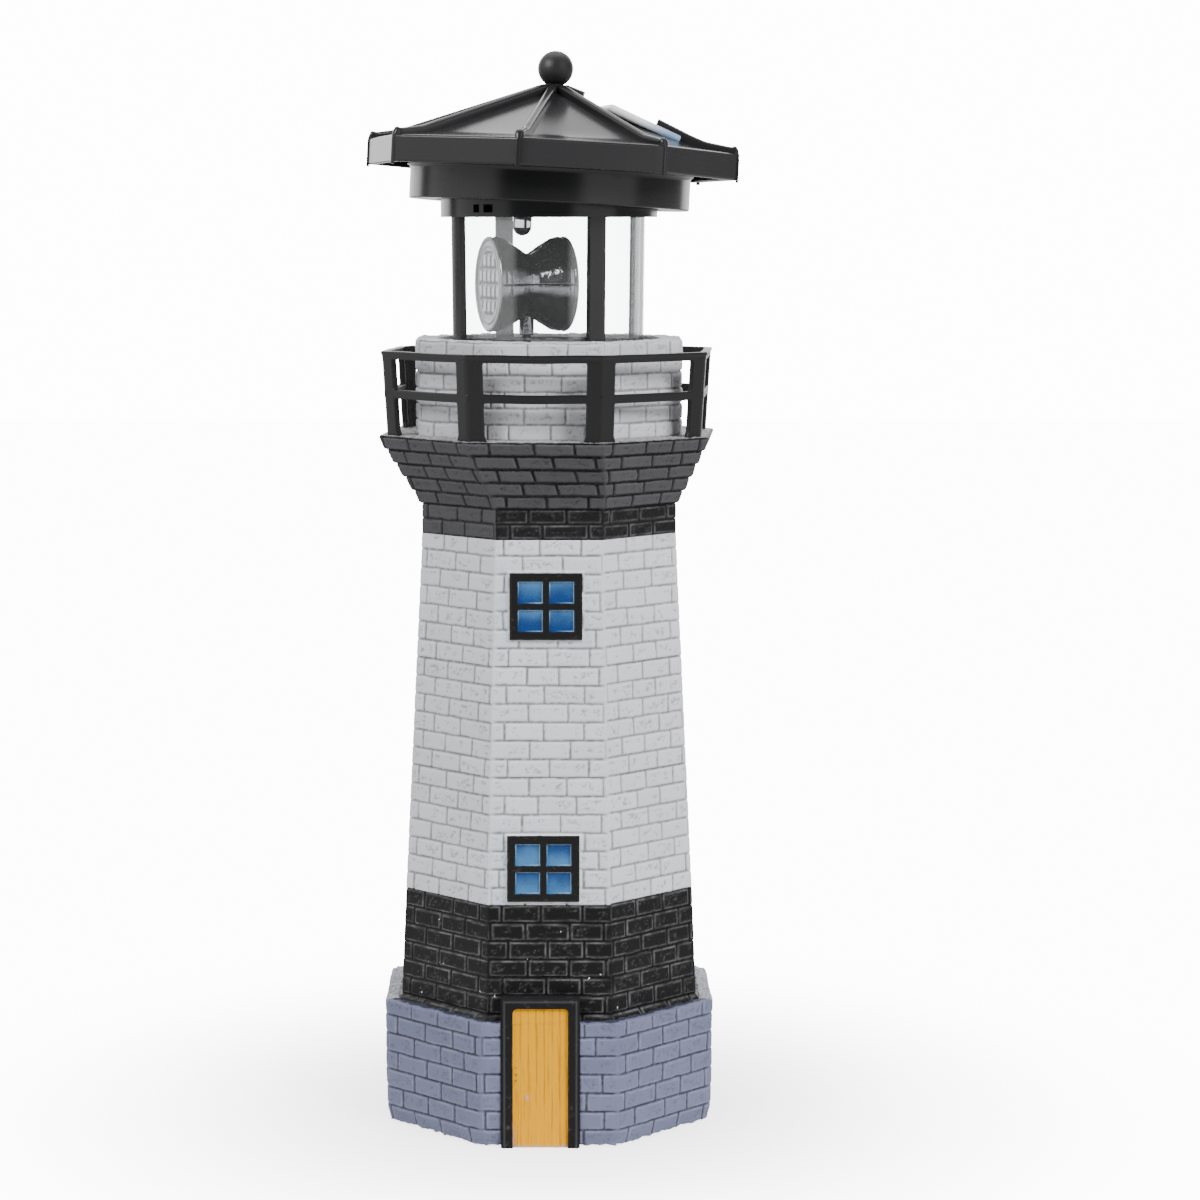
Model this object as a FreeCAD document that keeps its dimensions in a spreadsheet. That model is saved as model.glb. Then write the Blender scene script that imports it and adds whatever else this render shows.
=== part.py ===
import FreeCAD, Part

import math
import os
import re

from FreeCAD import Placement, Rotation, Vector

# Solar garden lighthouse: a hollow cast tower, a clear lantern with a turning reflector, and a solar roof.
# Frame: origin at the middle of the underside, +Z up, -Y out of the door, +X to the right of the door.
# The roof is built straight in its own frame, whose origin is the middle of the drum's lower edge.
# Every driving size, in millimetres, degrees or counts.
SIZES = {
    # Tower casting, from the ground up: half widths are measured square to the flats of its octagon.
    "plinth_half": 43.5,
    "plinth_top": 33.5,
    "band_half_low": 39.9,
    "band_height": 30.5,
    "white_half_low": 38.6,
    "white_height": 96.0,
    "neck_half": 33.9,
    "neck_height": 8.0,
    "corbel_height": 18.0,
    "gallery_walk": 8.4,
    "gallery_turn": -5.0,
    "pedestal_wall": 5.9,
    "pedestal_chamfer": 1.9,
    "pedestal_height": 25.5,
    "cup_depth": 33.7,
    "pour_hole": 8.0,
    # Door and windows, cast on the front.
    "door_x": -2.3,
    "door_frame_width": 20.2,
    "door_frame_top": 40.3,
    "door_width": 14.6,
    "door_top": 37.6,
    "door_proud": 1.3,
    "relief": 0.8,
    "window_width": 19.0,
    "window_height": 17.4,
    "window_bar": 2.0,
    "window_proud": 1.0,
    "upper_window_x": -0.8,
    "upper_window_drop": 17.3,
    "lower_window_x": -1.5,
    "lower_window_rise": 9.7,
    # Base plate.
    "base_plate_lap": 1.5,
    "base_plate_thick": 2.0,
    # Gallery railing.
    "rail_setback": 2.2,
    "rail_flare": 1.3,
    "rail_wall": 1.7,
    "rail_height": 22.5,
    "rail_post": 4.3,
    "top_rail": 2.1,
    "mid_rail": 2.3,
    "mid_rail_z": 10.0,
    # Lantern: floor plate, clear tube and cage.
    "floor_lip": 0.6,
    "floor_thick": 2.0,
    "floor_sunk": 1.7,
    "tube_radius": 25.9,
    "tube_wall": 1.2,
    "lantern_draft": 0.4,
    "lantern_height": 34.0,
    "ring_height": 5.5,
    "ring_thick": 2.9,
    "post_thick": 1.9,
    "post_width": 4.6,
    "first_post": -62.7,
    "foot_ring": 1.0,
    "ceiling_hole": 20.0,
    "ceiling_thick": 1.4,
    "catch_rise": 1.2,
    "catch_height": 2.1,
    # Gear housing and drive.
    "housing_lip": 1.1,
    "housing_wall": 1.6,
    "ledge": 2.0,
    "gear_room": 14.3,
    "gear_plate_thick": 1.6,
    "tooth_module": 0.5,
    "wheel_teeth": 40,
    "pinion_teeth": 10,
    "backlash": 0.16,
    "gear_face": 2.0,
    "gear_step": 3.3,
    "shaft_x": -6.06,
    "shaft_radius": 1.2,
    "pin_radius": 0.75,
    "motor_radius": 10.2,
    "motor_length": 12.0,
    "motor_shaft": 0.75,
    "boss_radius": 3.2,
    "boss_inset": 4.7,
    "second_gear_angle": 60.0,
    "first_gear_angle": -25.0,
    "motor_angle": -120.0,
    # Reflector.
    "beam_rise": 16.1,
    "beam_turn": 17.0,
    "beam_half": 11.0,
    "rim_radius": 12.8,
    "rim_width": 2.0,
    "waist_radius": 9.4,
    "waist_half": 3.3,
    "shell_wall": 0.9,
    "lens_thick": 1.2,
    "hub_radius": 2.0,
    "hub_length": 13.6,
    "light_hole": 3.8,
    # Solar roof, in its own frame.
    "cap_overlap": 2.2,
    "cap_lean": 2.8,
    "cap_nod": 0.9,
    "cap_yaw": -9.7,
    "drum_thick": 7.2,
    "drum_wall": 2.0,
    "drum_top_drop": 1.4,
    "drum_step_cover": 0.1,
    "drum_step": 0.8,
    "pocket_clearance": 1.3,
    "drum_floor": 1.6,
    "eave_overhang": 12.7,
    "fascia_height": 7.0,
    "cell_headroom": 5.2,
    "roof_wall": 1.8,
    "flare_radius": 41.0,
    "flare_rise": 0.9,
    "knee_radius": 37.0,
    "knee_rise": 2.1,
    "apex_radius": 3.0,
    "roof_rise": 14.1,
    "rib_width": 1.8,
    "rib_height": 2.1,
    "rib_eave_height": 1.2,
    "rib_proud": 0.6,
    "cap_boss_circle": 15.0,
    "cap_boss_radius": 3.0,
    "ball_radius": 4.75,
    "ball_rise": 6.4,
    "ball_stem": 1.55,
    "panel_length": 31.5,
    "panel_width": 20.8,
    "panel_thick": 2.0,
    "panel_sunk": 1.2,
    "panel_middle": 21.5,
    # Lamp, cell, board and switch inside the drum.
    "led_x": -6.9,
    "led_radius": 2.5,
    "led_length": 8.6,
    "led_flange": 2.9,
    "holder_radius": 3.8,
    "cell_radius": 5.2,
    "cell_length": 30.0,
    "cell_y": -20.5,
    "tray_wall": 1.2,
    "spring_room": 3.0,
    "spring_wire": 0.4,
    "board_length": 24.0,
    "board_width": 14.0,
    "board_thick": 1.6,
    "board_x": 8.0,
    "board_y": 14.0,
    "board_lift": 3.0,
    "switch_x": 9.5,
    "switch_y": -8.5,
    "switch_travel": 2.0,
    "wire_radius": 0.6,
    # Clearances.
    "running_gap": 0.05,
    "part_gap": 0.3,
    "slip_gap": 0.1,
}

# Sizes and levels that follow from the ones above, so that what fits together stays together.
FOLLOWING = {
    "white_start": "plinth_top + band_height",
    "neck_start": "white_start + white_height",
    "corbel_start": "neck_start + neck_height",
    "gallery_top": "corbel_start + corbel_height",
    "pedestal_top": "gallery_top + pedestal_height",
    "upper_window_z": "neck_start - upper_window_drop",
    "lower_window_z": "white_start + lower_window_rise",
    "hollow_low": "band_half_low - 2.4",
    "hollow_high": "neck_half - 4.9",
    "hollow_top": "corbel_start + 4",
    "cup_floor": "pedestal_top - cup_depth",
    "base_plate_radius": "hollow_low + base_plate_lap",
    "rail_half_foot": "gallery_half - rail_setback",
    "rail_half_top": "rail_half_foot + rail_flare",
    "floor_top": "pedestal_top - floor_sunk",
    "post_inner": "tube_radius + part_gap",
    "ring_radius": "post_inner + ring_thick",
    "floor_radius": "ring_radius + floor_lip",
    "housing_radius": "floor_radius - housing_lip",
    "boss_circle": "housing_radius - boss_inset",
    "pedestal_half": "floor_radius + pedestal_wall",
    "pedestal_corner": "pedestal_half + pedestal_chamfer",
    "gallery_half": "pedestal_half + gallery_walk",
    "ring_low": "floor_top + lantern_height",
    "ring_top": "ring_low + ring_height",
    "catch_low": "ring_low + catch_rise",
    "gear_plate_z": "floor_top - floor_thick - gear_room",
    "beam_z": "floor_top + beam_rise",
    "hub_foot": "beam_z - hub_length",
    "cap_z": "ring_top - cap_overlap",
    "pocket_radius": "ring_radius + pocket_clearance",
    "drum_radius": "pocket_radius + drum_thick",
    "eave_radius": "drum_radius + eave_overhang",
    "fascia_top": "2 * cell_radius + cell_headroom",
    "fascia_low": "fascia_top - fascia_height",
    "drum_top": "fascia_top - drum_top_drop",
    "drum_step_z": "fascia_low + drum_step_cover",
    "apex_z": "fascia_top + roof_rise",
    "ball_z": "apex_z + ball_rise",
}

doc = FreeCAD.newDocument("lighthouse")
sheet = doc.addObject("Spreadsheet::Sheet", "sizes")
cells = {**SIZES, **{alias: f"={formula}" for alias, formula in FOLLOWING.items()}}
for row, (alias, content) in enumerate(cells.items(), start=1):
    sheet.set(f"A{row}", alias)
    sheet.set(f"B{row}", str(content))
    sheet.setAlias(f"B{row}", alias)
doc.recompute()

ALIASES = re.compile(r"\b(" + "|".join(sorted(cells, key=len, reverse=True)) + r")\b")
nodes = []


# ---------------------------------------------------------------- helpers


def linked(expression):
    """The same expression with each size's name pointing at its cell."""
    return ALIASES.sub(r"sizes.\1", str(expression))


def bind(obj, **properties):
    """Tie properties to expressions; a double underscore in a name stands for a dot."""
    for name, expression in properties.items():
        obj.setExpression(name.replace("__", "."), linked(expression))


def size(alias):
    return float(sheet.get(alias))


def place(obj, x=0, y=0, z=0, axis=Vector(0, 0, 1), turn=0):
    obj.Placement = Placement(Vector(), Rotation(axis, turn))
    bind(obj, Placement__Base__x=x, Placement__Base__y=y, Placement__Base__z=z)
    return obj


def cylinder(radius, height, **where):
    obj = doc.addObject("Part::Cylinder", "cylinder")
    bind(obj, Radius=radius, Height=height)
    return place(obj, **where)


def cone(low, high, height, **where):
    obj = doc.addObject("Part::Cone", "cone")
    bind(obj, Radius1=low, Radius2=high, Height=height)
    return place(obj, **where)


def box(length, width, height, **where):
    obj = doc.addObject("Part::Box", "box")
    bind(obj, Length=length, Width=width, Height=height)
    return place(obj, **where)


def centred_box(length, width, height, x=0, y=0, z=0, turn=0):
    """A box whose footprint is centred on (x, y), turned about the vertical through its own middle."""
    angle = math.radians(turn)
    along = f"(({length}) * {math.cos(angle):.9f} - ({width}) * {math.sin(angle):.9f}) / 2"
    across = f"(({length}) * {math.sin(angle):.9f} + ({width}) * {math.cos(angle):.9f}) / 2"
    return box(length, width, height, x=f"({x}) - {along}", y=f"({y}) - {across}", z=z, turn=turn)


def octagon_loft(stations, corner=22.5):
    """A solid through octagons: each station is (half width across flats, height, turn)."""
    sections = []
    for half, height, turn in stations:
        polygon = doc.addObject("Part::RegularPolygon", "octagon")
        polygon.Polygon = 8
        bind(polygon, Circumradius=f"({half}) / cos(22.5 deg)")
        place(polygon, z=height)
        bind(polygon, Placement__Rotation__Angle=f"{corner} + ({turn})")
        sections.append(polygon)
    loft = doc.addObject("Part::Loft", "loft")
    loft.Sections = sections
    loft.Solid = True
    loft.Ruled = True
    return loft


def fuse(*shapes):
    obj = doc.addObject("Part::MultiFuse", "fusion")
    obj.Shapes = list(shapes)
    return obj


def common(*shapes):
    obj = doc.addObject("Part::MultiCommon", "overlap")
    obj.Shapes = list(shapes)
    return obj


def cut(base, *tools):
    obj = doc.addObject("Part::Cut", "cut")
    obj.Base = base
    obj.Tool = tools[0] if len(tools) == 1 else fuse(*tools)
    return obj


def ring(outer, inner, height, z):
    """A flat ring; the bore runs a little past both faces."""
    return cut(cylinder(outer, height, z=z), cylinder(inner, f"({height}) + 2", z=f"({z}) - 1"))


def keep(obj, label, placement=None):
    """Make this object a node of the part, and move it from where it was built to its place."""
    obj.Label = label
    if placement is not None:
        obj.Placement = placement.multiply(obj.Placement)
    nodes.append(obj)
    return obj


def solid_of(shape, label, placement=None):
    """A node whose shape is computed by a function of this file."""
    obj = doc.addObject("Part::Feature", label)
    obj.Shape = shape
    return keep(obj, label, placement)


def origin_plane(body, role):
    return next(plane for plane in body.Origin.OriginFeatures if plane.Role == role)


def sketch_on(body, role, lift="0"):
    sketch = body.newObject("Sketcher::SketchObject", "sketch")
    sketch.AttachmentSupport = [(origin_plane(body, role), "")]
    sketch.MapMode = "FlatFace"
    bind(sketch, AttachmentOffset__Base__z=lift)
    return sketch


def add_outline(sketch, points):
    corners = [Vector(x, y, 0) for x, y in points]
    sides = zip(corners, corners[1:] + corners[:1])
    sketch.addGeometry([Part.LineSegment(start, end) for start, end in sides], False)


def add_circle(sketch, radius):
    import Sketcher

    index = sketch.addGeometry(Part.Circle(Vector(0, 0, 0), Vector(0, 0, 1), 1), False)
    sketch.addConstraint(Sketcher.Constraint("Coincident", index, 3, -1, 1))
    number = sketch.addConstraint(Sketcher.Constraint("Radius", index, 1))
    sketch.setExpression(f"Constraints[{number}]", linked(radius))


def pad(body, sketch, length):
    feature = body.newObject("PartDesign::Pad", "pad")
    feature.Profile = sketch
    bind(feature, Length=length)
    return feature


def round_pad(body, radius, length, lift="0"):
    sketch = sketch_on(body, "XY_Plane", lift)
    add_circle(sketch, radius)
    return pad(body, sketch, length)


def bore(body, radius):
    """A hole right through along the body's own Z axis."""
    sketch = sketch_on(body, "XY_Plane")
    add_circle(sketch, radius)
    feature = body.newObject("PartDesign::Pocket", "bore")
    feature.Profile = sketch
    feature.Type = "ThroughAll"
    feature.Midplane = True
    return feature


def revolved(body, points, angle=360.0, reversed_turn=False):
    """A ring profile in the XY plane, as (along X, out from X), turned about the body's X axis."""
    sketch = sketch_on(body, "XY_Plane")
    add_outline(sketch, points)
    feature = body.newObject("PartDesign::Revolution", "turned")
    feature.Profile = sketch
    feature.ReferenceAxis = (sketch, ["H_Axis"])
    feature.Angle = angle
    feature.Reversed = reversed_turn
    return feature


def new_body(label, placement=None):
    return keep(doc.addObject("PartDesign::Body", label), label, placement)


def copies(shape, places):
    return Part.makeCompound([shape.transformed(each.toMatrix(), True) for each in places])


def screw_shape(shank, length, head, head_height):
    """A pan-head screw that points down, with the underside of its head at z = 0, and a cross recess."""
    body = Part.makeCylinder(head, head_height)
    body = body.fuse(Part.makeCylinder(shank, length, Vector(0, 0, -length)))
    slot_width = head / 4
    depth = head_height / 2
    for angle in (0, 90):
        slot = Part.makeBox(head * 1.3, slot_width, depth, Vector(-head * 0.65, -slot_width / 2, depth))
        slot.rotate(Vector(), Vector(0, 0, 1), angle)
        body = body.cut(slot)
    return body


def upright(x, y, z, flipped=False):
    turn = Rotation(Vector(1, 0, 0), 180) if flipped else Rotation()
    return Placement(Vector(x, y, z), turn)


def polar(radius, degrees):
    angle = math.radians(degrees)
    return radius * math.cos(angle), radius * math.sin(angle)


# ---------------------------------------------------------------- tower


def front_wall(z):
    """Half width of the white wall at a height, as an expression."""
    return f"(white_half_low + (neck_half - white_half_low) * (({z}) - white_start) / (neck_start - white_start))"


def window(x, z):
    """A frame on the front wall with two by two sunk panes; both lean with the wall."""
    lean = math.degrees(
        math.atan((size("white_half_low") - size("neck_half")) / (size("neck_start") - size("white_start")))
    )
    across = dict(axis=Vector(1, 0, 0), turn=-lean)
    face = f"-{front_wall(z)} - window_proud"
    frame = box("window_width", "6", "window_height", x=f"({x}) - window_width / 2", y=face,
                z=f"({z}) - window_height / 2", **across)
    pane_width = "(window_width - 3 * window_bar) / 2"
    pane_height = "(window_height - 3 * window_bar) / 2"
    panes = []
    for side in (-1, 1):
        for row in (-1, 1):
            left = f"({x}) + {side} * ({pane_width} + window_bar) / 2 - {pane_width} / 2"
            low = f"({z}) + {row} * ({pane_height} + window_bar) / 2 - {pane_height} / 2"
            out = f"{face} - 2 + (({low}) - ({z}) + window_height / 2) * tan({lean:.6f} deg)"
            panes.append(box(pane_width, "relief + 2", pane_height, x=left, y=out, z=low, **across))
    return frame, panes


def tower_casting():
    plinth = octagon_loft([("plinth_half - 0.2", "0", "0"), ("plinth_half", "plinth_top", "0")])
    band = octagon_loft([("band_half_low", "plinth_top", "0"), ("white_half_low", "white_start", "0")])
    shaft = octagon_loft([("white_half_low", "white_start", "0"), ("neck_half", "neck_start", "0")])
    neck = octagon_loft([("neck_half", "neck_start", "0"), ("neck_half", "corbel_start", "0")])
    corbel = octagon_loft([("neck_half", "corbel_start", "0"), ("gallery_half", "gallery_top", "gallery_turn")])
    pedestal = common(
        octagon_loft([("pedestal_half", "gallery_top", "0"), ("pedestal_half", "pedestal_top", "0")]),
        cylinder("pedestal_corner", "pedestal_top - gallery_top", z="gallery_top"),
    )
    door_frame = box("door_frame_width", "10", "door_frame_top", x="door_x - door_frame_width / 2",
                     y="-plinth_half - door_proud")
    door = box("door_width", "relief + 2", "door_top", x="door_x - door_width / 2",
               y="-plinth_half - door_proud - 2")
    upper_frame, upper_panes = window("upper_window_x", "upper_window_z")
    lower_frame, lower_panes = window("lower_window_x", "lower_window_z")
    outside = fuse(plinth, band, shaft, neck, corbel, pedestal, door_frame, upper_frame, lower_frame)
    hollow = cone("hollow_low", "hollow_high", "hollow_top")
    rebate = cylinder("base_plate_radius", "base_plate_thick", z="0")
    throat = cylinder("pour_hole", "cup_floor - hollow_top + 2", z="hollow_top - 1")
    cup = cylinder("housing_radius + part_gap", "pedestal_top - cup_floor + 1", z="cup_floor")
    seat = cylinder("floor_radius + part_gap", "pedestal_top - floor_top + floor_thick + 1",
                    z="floor_top - floor_thick")
    keep(cut(outside, hollow, rebate, throat, cup, seat, door, *upper_panes, *lower_panes), "tower_casting")


def base_plate():
    body = new_body("base_plate")
    round_pad(body, "base_plate_radius - slip_gap", "base_plate_thick")


def gallery_railing():
    """A leaning octagonal wall, cut between its corners into posts, a top rail and a mid rail."""
    top = "gallery_top + rail_height"
    outer = octagon_loft([("rail_half_foot", "gallery_top", "gallery_turn"), ("rail_half_top", top, "gallery_turn")])
    inner = octagon_loft([
        ("rail_half_foot - rail_wall", "gallery_top", "gallery_turn"),
        ("rail_half_top - rail_wall", top, "gallery_turn"),
    ])
    bay = "2 * rail_half_top * tan(22.5 deg) - 2 * rail_post"
    reach = "3 * rail_half_top"
    turn = size("gallery_turn")
    bays = []
    for side in range(4):
        angle = 45 * side + turn
        bays.append(centred_box(reach, bay, "mid_rail_z", z="gallery_top", turn=angle))
        upper = "rail_height - top_rail - mid_rail_z - mid_rail"
        bays.append(centred_box(reach, bay, upper, z="gallery_top + mid_rail_z + mid_rail", turn=angle))
    keep(cut(outer, inner, *bays), "gallery_railing")


# ---------------------------------------------------------------- lantern


def lantern_floor():
    plate = cylinder("floor_radius", "floor_thick", z="floor_top - floor_thick")
    shaft_hole = cylinder("shaft_radius + 1.5", "floor_thick + 2", x="shaft_x", z="floor_top - floor_thick - 1")
    pin_holes = []
    for x, y in (gear_centres()["second_gear"], gear_centres()["first_gear"]):
        pin_holes.append(cylinder("pin_radius + running_gap", "floor_thick / 2", x=x, y=y,
                                  z="floor_top - floor_thick"))
    screw_holes = []
    for degrees in (150, 230, 310):
        x, y = polar(size("boss_circle") - 1.2, degrees)
        screw_holes.append(cylinder("1.1 + slip_gap", "floor_thick + 2", x=x, y=y, z="floor_top - floor_thick - 1"))
        screw_holes.append(cylinder("2.1", "1.2", x=x, y=y, z="floor_top - 1.0"))
    keep(cut(plate, shaft_hole, *pin_holes, *screw_holes), "lantern_floor")


def shaft_bushing():
    height = "floor_thick"
    sleeve = cut(
        cylinder("shaft_radius + 1.5", height, x="shaft_x", z="floor_top - floor_thick"),
        cylinder("shaft_radius + running_gap", f"{height} + 2", x="shaft_x", z="floor_top - floor_thick - 1"),
    )
    keep(sleeve, "shaft_bushing")


def clear_tube():
    foot = "tube_radius - lantern_draft"
    length = "ring_top - ceiling_thick - 0.9 - part_gap / 3 - floor_top"
    outer = cone(foot, "tube_radius", length, z="floor_top")
    inner = cone(f"{foot} - tube_wall", "tube_radius - tube_wall", length, z="floor_top")
    keep(cut(outer, inner), "clear_tube")


def cage_frame():
    """Top ring with its ceiling flange, foot ring and four posts that lean out a little."""
    span = "ring_low - floor_top + 0.5"
    outer = cone("post_inner + post_thick - lantern_draft", "post_inner + post_thick", span, z="floor_top")
    inner = cone("post_inner - lantern_draft", "post_inner", span, z="floor_top")
    first = size("first_post")
    arms = fuse(*[
        centred_box("4 * ring_radius", "post_width", f"{span} + 2", z="floor_top - 1", turn=first + 90 * arm)
        for arm in range(2)
    ])
    posts = common(cut(outer, inner), arms)
    foot = ring("ring_radius + 0.2", "post_inner - lantern_draft", "foot_ring", "floor_top")
    top = ring("ring_radius", "post_inner", "ring_top - ring_low", "ring_low")
    ceiling = ring("post_inner + 0.5", "ceiling_hole", "ceiling_thick", "ring_top - ceiling_thick - 0.9")
    catches = []
    for degrees, width in ((-130.9, "2.0"), (-123.2, "2.9")):
        for opposite in (0, 180):
            x, y = polar(size("ring_radius"), degrees + opposite)
            catches.append(centred_box("5", width, "catch_height", x=x, y=y, z="catch_low", turn=degrees))
    keep(cut(fuse(foot, posts, top, ceiling), *catches), "cage_frame")


# ---------------------------------------------------------------- drive


def gear_centres():
    """Centres of the train, each one centre distance from the last, as (x, y) in millimetres."""
    distance = size("tooth_module") * (size("wheel_teeth") + size("pinion_teeth")) / 2
    x, y = size("shaft_x"), 0.0
    centres = {"output_gear": (x, y)}
    for name in ("second_gear", "first_gear", "motor"):
        step_x, step_y = polar(distance, size(f"{name}_angle"))
        x, y = x + step_x, y + step_y
        centres[name] = (x, y)
    return centres


def gear_outline(teeth, middle_angle):
    """Straight-flanked teeth, one of them centred on middle_angle (degrees)."""
    module = size("tooth_module")
    pitch_radius = module * teeth / 2
    root, tip = pitch_radius - 1.2 * module, pitch_radius + 0.9 * module
    half_tooth = math.pi * module / 4 - size("backlash") / 2
    slope = math.tan(math.radians(20))
    root_half = (half_tooth + (pitch_radius - root) * slope) / root
    tip_half = (half_tooth - (tip - pitch_radius) * slope) / tip
    points = []
    for tooth in range(int(teeth)):
        middle = math.radians(middle_angle) + 2 * math.pi * tooth / teeth
        for radius, offset in ((root, -root_half), (tip, -tip_half), (tip, tip_half), (root, root_half)):
            points.append((radius * math.cos(middle + offset), radius * math.sin(middle + offset)))
    return points


def add_gear(body, teeth, lift, middle_angle, face="gear_face"):
    sketch = sketch_on(body, "XY_Plane", lift)
    add_outline(sketch, gear_outline(size(teeth), middle_angle))
    pad(body, sketch, face)


def gap_facing(teeth, degrees):
    """The tooth angle that puts a gap, not a tooth, at this bearing."""
    return degrees + 180 / size(teeth)


def gear_at(label, centre):
    x, y = centre
    return new_body(label, Placement(Vector(x, y, 0), Rotation()))


def gear_train():
    centres = gear_centres()
    plate_top = "gear_plate_z + gear_plate_thick"
    level_1 = f"{plate_top} + 1.6"
    level_2 = f"{level_1} + gear_step"
    level_3 = f"{level_2} + gear_step"
    joint = "gear_step + gear_face"

    body = gear_at("motor_pinion", centres["motor"])
    toward_first = size("motor_angle") + 180
    add_gear(body, "pinion_teeth", f"{level_1} - 0.2", gap_facing("pinion_teeth", toward_first), "gear_face + 0.4")
    bore(body, "motor_shaft")

    body = gear_at("first_gear", centres["first_gear"])
    add_gear(body, "wheel_teeth", level_1, size("motor_angle"))
    toward_second = size("first_gear_angle") + 180
    add_gear(body, "pinion_teeth", level_1, gap_facing("pinion_teeth", toward_second), joint)
    bore(body, "pin_radius + running_gap")

    body = gear_at("second_gear", centres["second_gear"])
    add_gear(body, "wheel_teeth", level_2, size("first_gear_angle"))
    toward_output = size("second_gear_angle") + 180
    add_gear(body, "pinion_teeth", level_2, gap_facing("pinion_teeth", toward_output), joint)
    bore(body, "pin_radius + running_gap")

    body = gear_at("output_gear", centres["output_gear"])
    round_pad(body, "shaft_radius", f"hub_foot + 3.6 - ({plate_top}) + 0.8", f"{plate_top} - 0.8")
    round_pad(body, "shaft_radius + 1.6", "gear_face", f"{level_3} - 1.0")
    add_gear(body, "wheel_teeth", level_3, size("second_gear_angle"))

    pins = []
    low = size("gear_plate_z") + 0.8
    height = size("floor_top") - size("floor_thick") / 2 - 0.1 - low
    for name in ("first_gear", "second_gear"):
        x, y = centres[name]
        pins.append(Part.makeCylinder(size("pin_radius"), height, Vector(x, y, low)))
    solid_of(Part.makeCompound(pins), "gear_pins")


def gear_plate():
    centres = gear_centres()
    low = "gear_plate_z"
    plate = cylinder("housing_radius - housing_wall - part_gap", "gear_plate_thick", z=low)
    holes = []
    for degrees in (150, 230, 310):
        x, y = polar(size("boss_circle"), degrees)
        holes.append(cylinder("boss_radius + part_gap", "gear_plate_thick + 2", x=x, y=y, z=f"{low} - 1"))
    x, y = centres["motor"]
    holes.append(cylinder("motor_shaft + 1.2", "gear_plate_thick + 2", x=x, y=y, z=f"{low} - 1"))
    for x, y in motor_screw_places():
        holes.append(cylinder("0.8 + slip_gap", "gear_plate_thick + 2", x=x, y=y, z=f"{low} - 1"))
    for name in ("first_gear", "second_gear"):
        x, y = centres[name]
        holes.append(cylinder("pin_radius", "gear_plate_thick", x=x, y=y, z=f"{low} + 0.8"))
    x, y = centres["output_gear"]
    holes.append(cylinder("shaft_radius + running_gap", "gear_plate_thick", x=x, y=y, z=f"{low} + 0.75"))
    keep(cut(plate, *holes), "gear_plate")


def gear_housing():
    """A cup whose upper bore is wider, which leaves a ledge for the gear plate, with three screw bosses."""
    low = "cup_floor + part_gap"
    outer = cylinder("housing_radius", f"floor_top - floor_thick - ({low})", z=low)
    upper = cylinder("housing_radius - housing_wall", "floor_top - gear_plate_z", z="gear_plate_z")
    lower = cylinder("housing_radius - housing_wall - ledge", "gear_plate_z", z=f"{low} + housing_wall")
    bosses, pilots = [], []
    for degrees in (150, 230, 310):
        x, y = polar(size("boss_circle"), degrees)
        bosses.append(cylinder("boss_radius", f"floor_top - floor_thick - ({low})", x=x, y=y, z=low))
        x, y = polar(size("boss_circle") - 1.2, degrees)
        pilots.append(cylinder("1.1", "9", x=x, y=y, z="floor_top - floor_thick - 8.5"))
    inside = cylinder("housing_radius", f"floor_top - floor_thick - ({low})", z=low)
    cup = cut(outer, upper, lower)
    keep(cut(fuse(cup, common(fuse(*bosses), inside)), *pilots), "gear_housing")


def motor_screw_places():
    x, y = gear_centres()["motor"]
    return [(x + sign * 6.0, y) for sign in (-1, 1)]


def motor():
    x, y = gear_centres()["motor"]
    top = "gear_plate_z"
    can = cylinder("motor_radius", "motor_length", x=x, y=y, z=f"{top} - motor_length")
    nose = cylinder("motor_shaft + 1.1", "gear_plate_thick", x=x, y=y, z=top)
    tail = cylinder("3", "0.9", x=x, y=y, z=f"{top} - motor_length - 0.9")
    drilled = [cylinder("motor_shaft + running_gap", "motor_length + 3", x=x, y=y, z=f"{top} - motor_length + 1")]
    for screw_x, screw_y in motor_screw_places():
        drilled.append(cylinder("0.8", "3.2", x=screw_x, y=screw_y, z=f"{top} - 2.7"))
    keep(cut(fuse(can, nose, tail), *drilled), "drive_motor")
    shaft = cylinder("motor_shaft", "motor_length + gear_plate_thick + 2.4", x=x, y=y,
                     z=f"{top} - motor_length + 1.1")
    keep(shaft, "motor_shaft")
    screw = screw_shape(0.8, size("gear_plate_thick") + 2.5, 1.5, 1.0)
    height = size("gear_plate_z") + size("gear_plate_thick")
    solid_of(copies(screw, [upright(sx, sy, height) for sx, sy in motor_screw_places()]), "motor_screws")


def housing_screws():
    screw = screw_shape(1.1, 8.0, 2.0, 0.9)
    height = size("floor_top") - 1.0
    places = []
    for degrees in (150, 230, 310):
        x, y = polar(size("boss_circle") - 1.2, degrees)
        places.append(upright(x, y, height))
    solid_of(copies(screw, places), "housing_screws")


# ---------------------------------------------------------------- reflector


def reflector_profile():
    """Half section of the bobbin wall: waist, flare, rim with a lens seat; (along the beam, radius)."""
    end, rim, rim_width = size("beam_half"), size("rim_radius"), size("rim_width")
    waist, waist_half, wall = size("waist_radius"), size("waist_half"), size("shell_wall")
    neck, seat = end - rim_width, rim - wall
    round_off = rim_width / 4
    outer = [(waist_half, waist), (neck, rim - 0.9), (neck + round_off, rim), (end - round_off, rim), (end, rim - round_off)]
    inner = [(end, seat), (neck + 0.4, seat), (neck + 0.4, seat - 1.0), (waist_half, waist - wall)]
    mirrored = [(-x, r) for x, r in reversed(inner)]
    opposite = [(-x, r) for x, r in reversed(outer)]
    return outer + inner + mirrored + opposite


def reflector_place():
    return Placement(Vector(size("shaft_x"), 0, size("beam_z")), Rotation(Vector(0, 0, 1), size("beam_turn")))


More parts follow.
